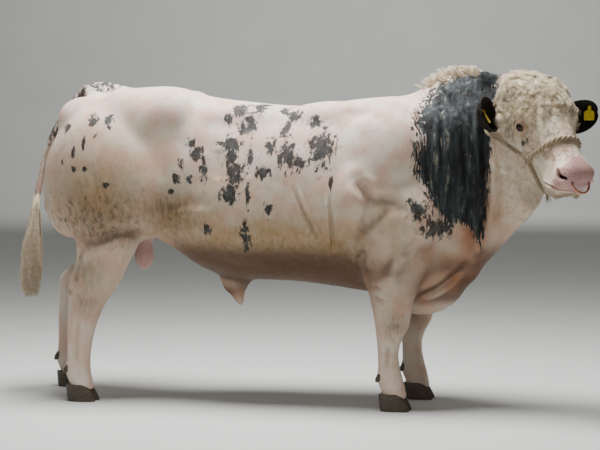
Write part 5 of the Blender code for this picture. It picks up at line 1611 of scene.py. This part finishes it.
@dataclass(frozen=True)
class Claws:
    """Hoof claws and dew claws of dull horn with growth rings."""

    rings: Sequence[Sequence[float]] = (
        (0.0, 0.016, 0.0665, 0.0292), (0.006, 0.015, 0.0675, 0.0297), (0.018, 0.012, 0.067, 0.0300),
        (0.050, 0.002, 0.060, 0.0285), (0.0797, -0.010, 0.050, 0.0270))
    heel: float = 0.052
    growth: float = 0.010
    growth_gap: float = 0.0085
    dew_marks: Sequence[float] = (-0.026, -0.012, 0.0, 0.009, 0.016, 0.0200)
    dew_radii: Sequence[float] = (0.0120, 0.0140, 0.0135, 0.0115, 0.0080, 0.0030)
    finish: Finish = Finish("hoof_horn", "#2a241d", "#5f5242", 90.0, 0.45, 0.0006, (0.5, 0.5, 6.0))

    def build(self) -> None:
        """Makes a piece for each claw and dew claw of the record."""
        horn = self.finish.material()
        for start, shape in (("claw_", self.claw), ("dewclaw_", self.dew_claw)):
            for name in nodes_named(start):
                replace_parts(shape(name).build(name + "_horn", horn, "horn"), name)

    def claw(self, name: str) -> Surface:
        """Shapes a claw: level ovals that narrow upwards, with growth rings 0.5 + 0.5 sin(2 pi z / gap) deep.

        Args:
            name: name of its solid.

        Returns:
            Its surface.
        """
        low, high = node_box(name)
        z, dx, length, width = catmull(self.rings, 8).T
        ripple = 0.5 + 0.5 * np.sin(z * 2 * np.pi / self.growth_gap)
        grow = 1 - self.growth * ripple * step(0.004, 0.012, z)
        centres = np.stack([low[0] + self.heel + dx, np.full_like(z, (low[1] + high[1]) / 2), z], -1)
        length, width = length * grow, width * grow
        claw = Surface()
        claw.grid(ovals(centres, (1.0, 0, 0), (0, 1.0, 0), length, width, width, 2.2, 36))
        return claw

    def dew_claw(self, name: str) -> Surface:
        """Shapes a dew claw: a blunt horn that points down and back.

        Args:
            name: name of its solid.

        Returns:
            Its surface.
        """
        way = unit(np.array([-0.50, 0.30 * (-1 if name.endswith("right") else 1), -0.80]))
        middle = np.mean(node_box(name), axis=0) + np.array([0.005, 0, 0])
        claw = Surface()
        claw.tube(middle + np.outer(self.dew_marks, way), np.array(self.dew_radii), 20, (0, 1, 0))
        return claw


@dataclass(frozen=True)
class Tuft:
    """How one kind of hair grows.

    A piece has count locks of so many hairs, each with a length between two in metres, a radius at the root and so
    many steps. Lift, wave and drop are shares of the length, spread is the width of a lock at its roots and gather
    how far its tips draw together. Upright is 0 where tips come back to the skin, 1 where they stand away from it.
    """

    name: str
    count: int
    hairs: int
    length: Tuple[float, float]
    radius: float
    steps: int = 4
    lift: float = 0.10
    wave: float = 0.05
    turns: float = 1.0
    spread: float = 0.006
    gather: float = 0.5
    drop: float = 0.0
    seed: int = 1
    upright: float = 0.0


CURLS = Tuft("forehead_curls_", 250, 17, (0.026, 0.046), 0.00085, 7, 0.40, 0.22, 1.6, 0.010, 0.50, 0.06)
FACE_FUR = Tuft("face_fur", 1350, 6, (0.010, 0.018), 0.0006, lift=0.16, wave=0.16, spread=0.008, gather=0.55, seed=14)
CHEEK_FUR = Tuft("cheek_fur", 1250, 5, (0.010, 0.020), 0.0006, lift=0.12, wave=0.10, spread=0.008, drop=0.10, seed=15)
CHIN_HAIR = Tuft("chin_hair", 520, 6, (0.016, 0.034), 0.0006, 5, 0.22, 0.08, 1.0, 0.007, 0.6, 0.35, 16)
CREST_TUFTS = Tuft("crest_tufts", 170, 18, (0.014, 0.046), 0.0008, 6, 1.00, 0.08, 1.0, 0.0075, 0.92, 0.0, 21, 1.0)
NAPE_HAIR = Tuft("nape_hair", 200, 14, (0.020, 0.036), 0.0007, 5, 0.45, 0.14, spread=0.012, seed=22)
NECK_HAIR = Tuft("neck_hair", 780, 8, (0.018, 0.034), 0.0006, spread=0.009, gather=0.45, seed=31)
THIGH_HAIR = Tuft("thigh_hair", 930, 6, (0.016, 0.032), 0.0006, wave=0.06, spread=0.008, gather=0.6, seed=32)
LEG_HAIR = Tuft("leg_and_belly_hair", 1150, 4, (0.010, 0.020), 0.00055, lift=0.12, seed=33)
BACK_HAIR = Tuft("flank_and_back_hair", 1850, 4, (0.008, 0.015), 0.00055, 3, wave=0.03, gather=0.4, seed=34)
TAIL_HAIR = Tuft("tail_hair", 360, 8, (0.020, 0.045), 0.0006, 5, wave=0.06, drop=0.1, seed=35)


@dataclass
class Coat:
    """Hair as solid strands: curls of the forehead, tufts of the crest, the switch, and short hair over the edges."""

    skin: Skin
    material: bpy.types.Material
    margin: float = 0.002
    taper: float = 0.75
    root_depth: float = 0.004
    switch_locks: int = 105
    switch_hairs: int = 17
    switch_steps: int = 9
    switch_wave: float = 0.0045
    switch_cream: float = 0.75
    lashes: int = 120

    def build(self) -> None:
        """Grows all the hair."""
        mesh = self.skin.obj.data
        mesh.calc_loop_triangles()
        self.tris = read(mesh.loop_triangles, "vertices", 3, np.int32)
        self.points = mesh_points(mesh)
        self.normals = mesh_normals(mesh)
        self.tree = self.skin.tree()
        corners = self.points[self.tris]
        first, second, third = np.moveaxis(corners, 1, 0)
        self.areas = 0.5 * np.linalg.norm(np.cross(second - first, third - first), axis=1)
        self.middles = corners.mean(1)
        self.facing = unit(self.normals[self.tris].mean(1))
        self.headness = self.skin.headness(self.middles)
        self.grow_head()
        self.grow_body()
        self.grow_switch()
        self.grow_lashes()

    def roots(self, weight: Array, count: int, chance: np.random.Generator) -> Tuple[Array, Array, Array]:
        """Draws places on the skin, as often as area times weight asks.

        Args:
            weight: density on each triangle.
            count: number of places.
            chance: the random draws.

        Returns:
            The places with their normals and fields.
        """
        odds = self.areas * np.clip(weight, 0, None)
        pick = chance.choice(len(odds), count, p=odds / odds.sum())
        a, b = chance.random((2, count))
        flip = a + b > 1
        a, b = np.where(flip, 1 - a, a), np.where(flip, 1 - b, b)
        share = np.stack([1 - a - b, a, b], -1)[..., None]
        corners = self.tris[pick]
        return ((self.points[corners] * share).sum(1), unit((self.normals[corners] * share).sum(1)),
                (self.skin.fields[corners] * share).sum(1))

    def grow_head(self) -> None:
        """Curls from poll to eyes, short swirls on face and cheeks, and hair of jaw and chin."""
        s, out, t = head_coords(self.middles).T
        head = self.headness
        eye = np.linalg.norm(np.stack([s, np.abs(out), t], -1) - np.array(EYE_PLACE), axis=1)
        ear = np.linalg.norm(np.stack([s, np.abs(out), t], -1) - np.array(EAR_BASE), axis=1)
        clear = step(0.048, 0.075, eye) * step(0.045, 0.065, ear)
        curly = step(0.05, 0.5, head) * step(0.250, 0.150, s + 0.10 * np.abs(out)) * step(-0.15, -0.07, t) * clear
        for part, seed in (("a", 11), ("b", 12), ("c", 13)):
            self.grow(replace(CURLS, name=CURLS.name + part, seed=seed), curly, self.swirl, head_unwrap)
        face = head * step(0.12, 0.20, s) * step(0.50, 0.42, s) * step(-0.12, -0.05, t) * step(0.030, 0.036, eye)
        self.grow(FACE_FUR, face, self.swirl, head_unwrap)
        bare = step(0.5, 0.1, self.skin_field("nose")) * step(0.5, 0.2, self.skin_field("lid"))
        round_eye = step(0.030, 0.036, eye) * step(0.045, 0.060, ear)
        cheek = head * step(0.40, 0.30, s) * step(0.02, -0.06, t) * round_eye * bare
        self.grow(CHEEK_FUR, cheek, head_way((0.55, 0, -0.83)), head_unwrap)
        under = step(0.30, 0.75, -self.facing @ head_way((0, 0, 1)))
        chin = head * step(0.30, 0.42, s) * step(-0.10, -0.20, t) * under * bare
        self.grow(CHIN_HAIR, chin, head_way((0.75, 0, -0.66)), head_unwrap)

    @staticmethod
    def swirl(points: Array) -> Array:
        """The lie on the forehead.

        Args:
            points: the roots.

        Returns:
            Down the face and outwards, turning round whorls 60 to 90 mm apart.
        """
        s, out, _ = head_coords(points).T
        turn = 1.3 * np.sin(s * 42 + 2.0) * np.cos(out * 38 + 0.7) + 0.8 * np.sin(out * 70 + s * 25)
        along, across = head_way((0.85, 0, -0.5)), head_way((0, 1, 0))
        lean = np.clip(out * 7, -1.2, 1.2)
        return along * np.cos(turn + lean)[:, None] + across * np.sin(turn + lean)[:, None]

    def grow_body(self) -> None:
        """Tufts of the crest, the hair of the neck and the short coat that breaks the edges of the body."""
        x, _, z = self.middles.T
        body = 1 - self.headness
        ridge = np.interp(x, [0.46, 0.58, 0.68, 0.78, 0.88], [1.430, 1.478, 1.535, 1.560, 1.552])
        crest = body * step(-0.045, -0.012, z - ridge) * step(0.60, 0.71, x) * step(0.89, 0.86, x)
        self.grow(CREST_TUFTS, crest, (-0.8, 0.0, 0.5), tint={"neck": 0.0, "cream": 0.8, "roan": 0.0})
        self.grow(NAPE_HAIR, body * step(1.47, 1.51, z) * step(0.86, 0.90, x), (-0.7, -0.2, -0.3))
        self.grow(NECK_HAIR, self.skin_field("neck") * step(0.60, 0.70, x), (-0.18, 0.0, -1.0))
        low = body * step(1.05, 0.85, z) * step(0.10, 0.16, z) * (self.skin_field("nose") < 0.2)
        thigh = np.exp(-((x + 0.90) / 0.22) ** 2 - ((z - 0.95) / 0.16) ** 2)
        self.grow(THIGH_HAIR, thigh * low, (0.25, 0.0, -1.0))
        self.grow(LEG_HAIR, low, (-0.35, 0.0, -1.0))
        back = body * step(0.85, 0.95, z) * (self.skin_field("neck") < 0.3)
        self.grow(BACK_HAIR, back, (-0.8, 0.0, -0.6))
        dock = (x < -1.20) * step(0.70, 0.80, z) * step(-1.19, -1.25, x)
        self.grow(TAIL_HAIR, dock, (-0.2, 0.0, -1.0))

    def grow_switch(self) -> None:
        """The tail's switch in two halves: strands that leave the dock, bulge and draw together below.

        The reach from the middle line is (r + (R - r) share S(u)) (1 - u^5 / 2), where u runs down the strand, S is
        a smooth step, r the dock's radius and R half the width of the solid; and each lock waves.
        """
        low, high = node_box("tail_switch")
        waist, half = (low + high) / 2, (high - low) / 2
        chance = np.random.default_rng(41)
        locks, n = self.switch_locks, self.switch_locks * self.switch_hairs
        u = np.linspace(0, 1, self.switch_steps)[None]
        for part in ("a", "b"):
            angle = self.each(chance.uniform(0, 2 * np.pi, locks)) + chance.normal(0, 0.16, n)
            share = self.each(chance.uniform(0.25, 1.0, locks)) * chance.uniform(0.85, 1.05, n)
            top = self.each(chance.uniform(0.72, 0.97, locks)) + chance.normal(0, 0.006, n)
            short = self.each(0.03 + 0.20 * chance.random(locks) ** 2)
            end = np.maximum(low[2] + 0.004, low[2] + short * (1.1 - 0.5 * share))
            z = top[:, None] + (end - top)[:, None] * u
            middle = np.interp(z, [low[2], 0.60, 0.76, 0.90, 1.0], [waist[0], waist[0], -1.350, -1.336, -1.322])
            wide = (0.016 + (half[0] - 0.018) * share[:, None] * step(0.0, 0.75, u)) * (1 - 0.5 * u ** 5)
            phase = self.each(chance.uniform(0, 2 * np.pi, locks))[:, None]
            x = middle + np.cos(angle)[:, None] * wide + self.switch_wave * np.sin(2 * np.pi * 2.2 * u + phase) * u
            y = np.sin(angle)[:, None] * wide * half[1] / half[0]
            y = y + self.switch_wave * np.cos(2 * np.pi * 1.7 * u + phase) * u
            path = np.stack([np.clip(x, low[0] + 0.001, high[0] - 0.001),
                             np.clip(y, low[1] + 0.001, high[1] - 0.001), z], -1)
            side = np.stack([-np.sin(angle), np.cos(angle), 0 * angle], -1)
            root = np.stack([angle / (2 * np.pi) % 1, (top - 0.7) * 0.3 + 0.02], -1)
            fields = plain_fields(n, {"cream": self.switch_cream})
            radius = 0.00095 * chance.uniform(0.8, 1.2, n)
            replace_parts(self.strands("tail_switch_" + part, path, side, radius, fields, root), "tail_switch")

    def each(self, values: Array) -> Array:
        """A value of each lock of the switch, given to all its strands."""
        return np.repeat(values, self.switch_hairs, axis=0)

    def grow_lashes(self) -> None:
        """Pale lashes along the upper lids, curving out and up."""
        chance = np.random.default_rng(51)
        paths, sides = [], []
        for eye in Side:
            centre, long_way, up_way, out = eye_frame(eye)
            x = chance.uniform(-0.017, 0.017, self.lashes)
            y = lid_edge(x, EYE_OPEN)[0] + 0.001
            z = np.sqrt((EYE_RADIUS + 0.003) ** 2 - x ** 2 - y ** 2)
            root = centre + x[:, None] * long_way + y[:, None] * up_way + z[:, None] * out
            length = chance.uniform(0.010, 0.018, self.lashes)[:, None, None]
            u = np.linspace(0, 1, 5)[None, :, None]
            way = out + long_way * (x / 0.03)[:, None]
            paths.append(root[:, None] + length * (way[:, None] * u + up_way * (0.5 * u ** 2 - 0.25 * u)))
            sides.append(np.broadcast_to(long_way, root.shape))
        path = np.concatenate(paths)
        self.strands("eyelashes", path, np.concatenate(sides), np.full(len(path), 0.00040),
                     plain_fields(len(path), {"stain_and_shade": 0.4, "cream": 0.6}), head_unwrap(path[:, 0]))

    def skin_field(self, name: str) -> Array:
        """A field of the skin at the middle of each triangle."""
        return self.skin.fields[self.tris, FIELDS.index(name)].mean(1)

    def grow(self, kind: Tuft, weight: Array, lie: Union[Sequence[float], Callable[[Array], Array]],
             unwrap: Optional[Callable[[Array], Array]] = None, tint: Optional[Dict[str, float]] = None) -> None:
        """Grows one kind of hair.

        A strand of length L leaves its root r as r + L (way u + normal rise(u) + wave(u)), where u runs from root
        to tip, the wave is a helix that widens with u^0.7, the strands of a lock draw together, and all hang with u^2.

        Args:
            kind: its settings.
            weight: density on each triangle of the skin.
            lie: the way it lies, or what gives that for each root.
            unwrap: gives each root's place on the unwrap, that of the trunk where nothing is given.
            tint: fields that differ from the skin's.
        """
        chance = np.random.default_rng(kind.seed)
        centre, normal, fields = self.roots(weight, kind.count, chance)
        for key, value in (tint or {}).items():
            fields[:, FIELDS.index(key)] = value
        way = lie(centre) if callable(lie) else np.broadcast_to(np.array(lie, float), centre.shape)
        way = unit(way - normal * np.sum(way * normal, 1, keepdims=True))
        side = np.cross(normal, way)
        turn = chance.normal(0, 0.30, kind.count)[:, None]
        way, side = way * np.cos(turn) + side * np.sin(turn), side * np.cos(turn) - way * np.sin(turn)
        n = kind.count * kind.hairs
        lock = np.repeat(np.arange(kind.count), kind.hairs)
        offset = chance.normal(0, kind.spread, (n, 2)).clip(-2 * kind.spread, 2 * kind.spread)
        length = chance.uniform(*kind.length, kind.count)[lock] * chance.uniform(0.8, 1.1, n)
        phase = chance.uniform(0, 2 * np.pi, kind.count)[lock] + chance.normal(0, 0.5, n)
        hand = chance.choice([-1.0, 1.0], kind.count)[lock]
        centre, normal, way, side, fields = [value[lock] for value in (centre, normal, way, side, fields)]
        root = centre + way * offset[:, :1] + side * offset[:, 1:]
        root = np.array([self.tree.find_nearest(Vector(p))[0][:] for p in root])
        u = np.linspace(0, 1, kind.steps)[None, :, None]
        length = length[:, None, None]
        angle = phase[:, None, None] + hand[:, None, None] * 2 * np.pi * kind.turns * u
        arch = np.sin(np.pi * np.minimum(u * 1.1, 1)) * 0.8 * (1 - kind.upright)
        rise = kind.lift * (arch + (0.2 + 0.8 * kind.upright) * u)
        curl = side[:, None] * np.cos(angle) + normal[:, None] * 0.6 * np.sin(angle)
        path = (root[:, None] - normal[:, None] * (self.root_depth * (1 - u) - 0.001) + way[:, None] * length * u
                + normal[:, None] * length * rise + curl * length * kind.wave * u ** 0.7
                - (root - centre)[:, None] * kind.gather * u - np.array([0, 0, 1.0]) * length * kind.drop * u ** 2)
        self.strands(kind.name, path, side, kind.radius * chance.uniform(0.75, 1.15, n), fields,
                     (unwrap or trunk_unwrap)(root))

    def strands(self, name: str, path: Array, side: Array, radius: Array, fields: Array,
                place: Array) -> bpy.types.Object:
        """Closed three-sided strands along paths, each a tube of radius r (1 - taper u^1.6) that ends in a point.

        Args:
            name: name of the piece.
            path: strands by steps by 3.
            side: a direction across each strand.
            radius: its root radius.
            fields: its markings.
            place: its root's place on the unwrap.

        Returns:
            The piece.
        """
        count, steps = path.shape[:2]
        low, high = np.array(CAD_BOX) - SHIFT
        path = np.clip(path, low + self.margin, high - self.margin)
        flow = unit(np.gradient(path, axis=1) + 1e-6)
        across = unit(side[:, None] - flow * np.sum(side[:, None] * flow, -1, keepdims=True))
        up = np.cross(flow, across)
        u = np.linspace(0, 1, steps)
        size = radius[:, None] * (1 - self.taper * u ** 1.6)[None]
        a = np.array([math.pi / 2, math.pi * 7 / 6, math.pi * 11 / 6])
        spokes = across[:, :-1, None] * np.cos(a)[:, None] + up[:, :-1, None] * np.sin(a)[:, None]
        rings = path[:, :-1, None] + spokes * size[:, :-1, None, None]
        each = 3 * (steps - 1) + 1
        points = np.concatenate([rings.reshape(count, -1, 3), path[:, -1:]], axis=1).reshape(-1, 3)
        start = (np.arange(count) * each)[:, None, None]
        row, k = np.meshgrid(np.arange(steps - 2), np.arange(3), indexing="ij")
        after = (k + 1) % 3
        quad = np.stack([3 * row + k, 3 * row + after, 3 * row + 3 + after, 3 * row + 3 + k], -1).reshape(-1, 4)
        last, tip = 3 * (steps - 2), each - 1
        tri = np.array([[last, last + 1, tip], [last + 1, last + 2, tip], [last + 2, last, tip], [2, 1, 0]])
        obj = mesh_object(name, points + SHIFT, (start + quad[None]).reshape(-1, 4),
                          (start + tri[None]).reshape(-1, 3), self.material, "hair")
        write_fields(obj.data, np.repeat(fields, each, axis=0))
        level = np.concatenate([np.repeat(u[:-1], 3), [1.0]]) - 0.5
        turn = np.concatenate([np.tile([-0.5, 0.0, 0.5], steps - 1), [0.0]])
        spot = (place[:, None] * 0.99 + 0.005 + 0.003 * np.stack([turn, level], -1)[None]).reshape(-1, 2)
        corner = read(obj.data.loops, "vertex_index", 1, np.int32)[:, 0]
        layer = obj.data.uv_layers.new(name="OFBake")
        layer.data.foreach_set("uv", spot[corner].astype(np.float32).ravel())
        return obj


def plain_fields(count: int, values: Dict[str, float]) -> Array:
    """Markings of so many strands that don't follow the skin: the given values, and 0 for the rest."""
    return np.tile([values.get(key, 0.0) for key in FIELDS], (count, 1))


def head_unwrap(points: Array) -> Array:
    """Places on a cylinder unrolled round the head: the angle about the face's length, and the station along it."""
    s, out, t = head_coords(points).T
    return np.stack([np.arctan2(out, t + 0.12) / (2 * np.pi) + 0.5, np.clip((s + 0.25) / 0.9, 0, 1)], -1)


def trunk_unwrap(points: Array) -> Array:
    """Places on a cylinder unrolled round the trunk: the angle about its length, and X."""
    return np.stack([np.arctan2(points[:, 1], points[:, 2] - 1.0) / (2 * np.pi) + 0.5,
                     np.clip((points[:, 0] + 1.45) / 2.9, 0, 1)], -1)


@dataclass(frozen=True)
class Softbox:
    """A round soft light: name, place, the point it looks at, its width, watts and tint."""

    name: str
    place: Point
    aim: Point
    size: float
    power: float
    tint: str

    def build(self) -> None:
        """Makes the light."""
        light = bpy.data.lights.new(self.name, "AREA")
        light.shape = "DISK"
        light.size = self.size
        light.energy = self.power
        light.color = linear(self.tint)[:3]
        obj = bpy.data.objects.new(self.name, light)
        bpy.context.scene.collection.objects.link(obj)
        obj.location = self.place
        obj.rotation_euler = (Vector(self.aim) - Vector(self.place)).to_track_quat("-Z", "Y").to_euler()


@dataclass(frozen=True)
class Stage:
    """Pale floor that rises to a round backdrop, soft lights, and the camera at the photo's angle."""

    floor_radius: float = 23.0
    bend_radius: float = 5.0
    wall_top: float = 16.0
    around: int = 72
    camera_place: Point = (2.226, -8.927, 1.30)
    lens: float = 116.64
    dip: float = 2.886
    heading: float = 14.0
    air: str = "#e8e6e2"
    air_strength: float = 0.27
    softboxes: Tuple[Softbox, ...] = (
        Softbox("top_softbox", (-0.2, -0.15, 4.6), (0.0, 0.0, 0.9), 2.4, 500.0, "#ffffff"),
        Softbox("front_softbox", (3.4, -5.6, 2.6), (0.3, 0.0, 0.9), 2.6, 24.0, "#fff6ea"),
        Softbox("rear_softbox", (-4.0, -2.5, 3.0), (-0.4, 0.0, 0.9), 2.2, 24.0, "#f2f6ff"),
        Softbox("backdrop_softbox", (-3.5, 18.0, 8.0), (-5.5, 28.0, 3.0), 6.0, 700.0, "#ffffff"),
    )

    def build(self) -> None:
        """Makes floor, lights, air and camera."""
        self.sheet()
        for softbox in self.softboxes:
            softbox.build()
        world = bpy.data.worlds.new("studio_air")
        bpy.context.scene.world = world
        world.use_nodes = True
        background = world.node_tree.nodes["Background"]
        background.inputs[0].default_value = linear(self.air)
        background.inputs[1].default_value = self.air_strength
        camera = bpy.data.cameras.new("camera")
        camera.lens = self.lens
        camera.sensor_width = 36.0
        obj = bpy.data.objects.new("camera", camera)
        bpy.context.scene.collection.objects.link(obj)
        obj.location = np.array(self.camera_place) + SHIFT
        obj.rotation_euler = (math.radians(90 - self.dip), 0.0, math.radians(self.heading))
        bpy.context.scene.camera = obj

    def sheet(self) -> None:
        """The floor and backdrop: a disc, a quarter circle and a wall, turned round the Z axis."""
        n = Nodes("studio_floor")
        paint = n.finish(Base_Color=n.mix(n.noise(1.2, 3.0), "#c9cbc8", "#d3d4d1"), Roughness=0.75)
        turn = 2 * np.pi * np.arange(self.around) / self.around
        bend = np.linspace(0.05, np.pi / 2, 16)
        edge, radius = self.floor_radius, self.bend_radius
        reach = [np.linspace(1e-4, edge, 24), edge + radius * np.sin(bend), np.full(6, edge + radius)]
        rise = [np.zeros(24), radius - radius * np.cos(bend), np.linspace(radius + 1, self.wall_top, 6)]
        reach, rise = np.concatenate(reach)[:, None], np.concatenate(rise)[:, None]
        sheet = Surface()
        sheet.grid(np.stack([reach * np.cos(turn), reach * np.sin(turn), rise + 0 * turn], -1))
        points, quads = np.vstack(sheet.points), np.vstack(sheet.quads)
        mesh_object("backdrop", points, quads, np.zeros((0, 3), int), paint, "")


def main() -> None:
    """Builds every piece in order; each is reported as it is made."""
    logging.basicConfig(level=logging.INFO, format="%(message)s")
    Stage().build()
    skin = Skin().build()
    Markings(skin).lay()
    finish = CoatFinish()
    skin.obj.data.materials.append(finish.material("short_coat_over_skin", False))
    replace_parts(skin.obj, "torso", "hindquarters", "neck", "head", "tail", "scrotum",
                *["leg_%s_%s" % (end, side.label) for end in ("front", "hind") for side in Side])
    Ears().build()
    Eyes().build()
    Halter(skin.tree()).build()
    NoseRing().build()
    EarTags().build()
    Claws().build()
    Coat(skin, finish.material("long_hair", True)).build()


if __name__ == "__main__":
    main()
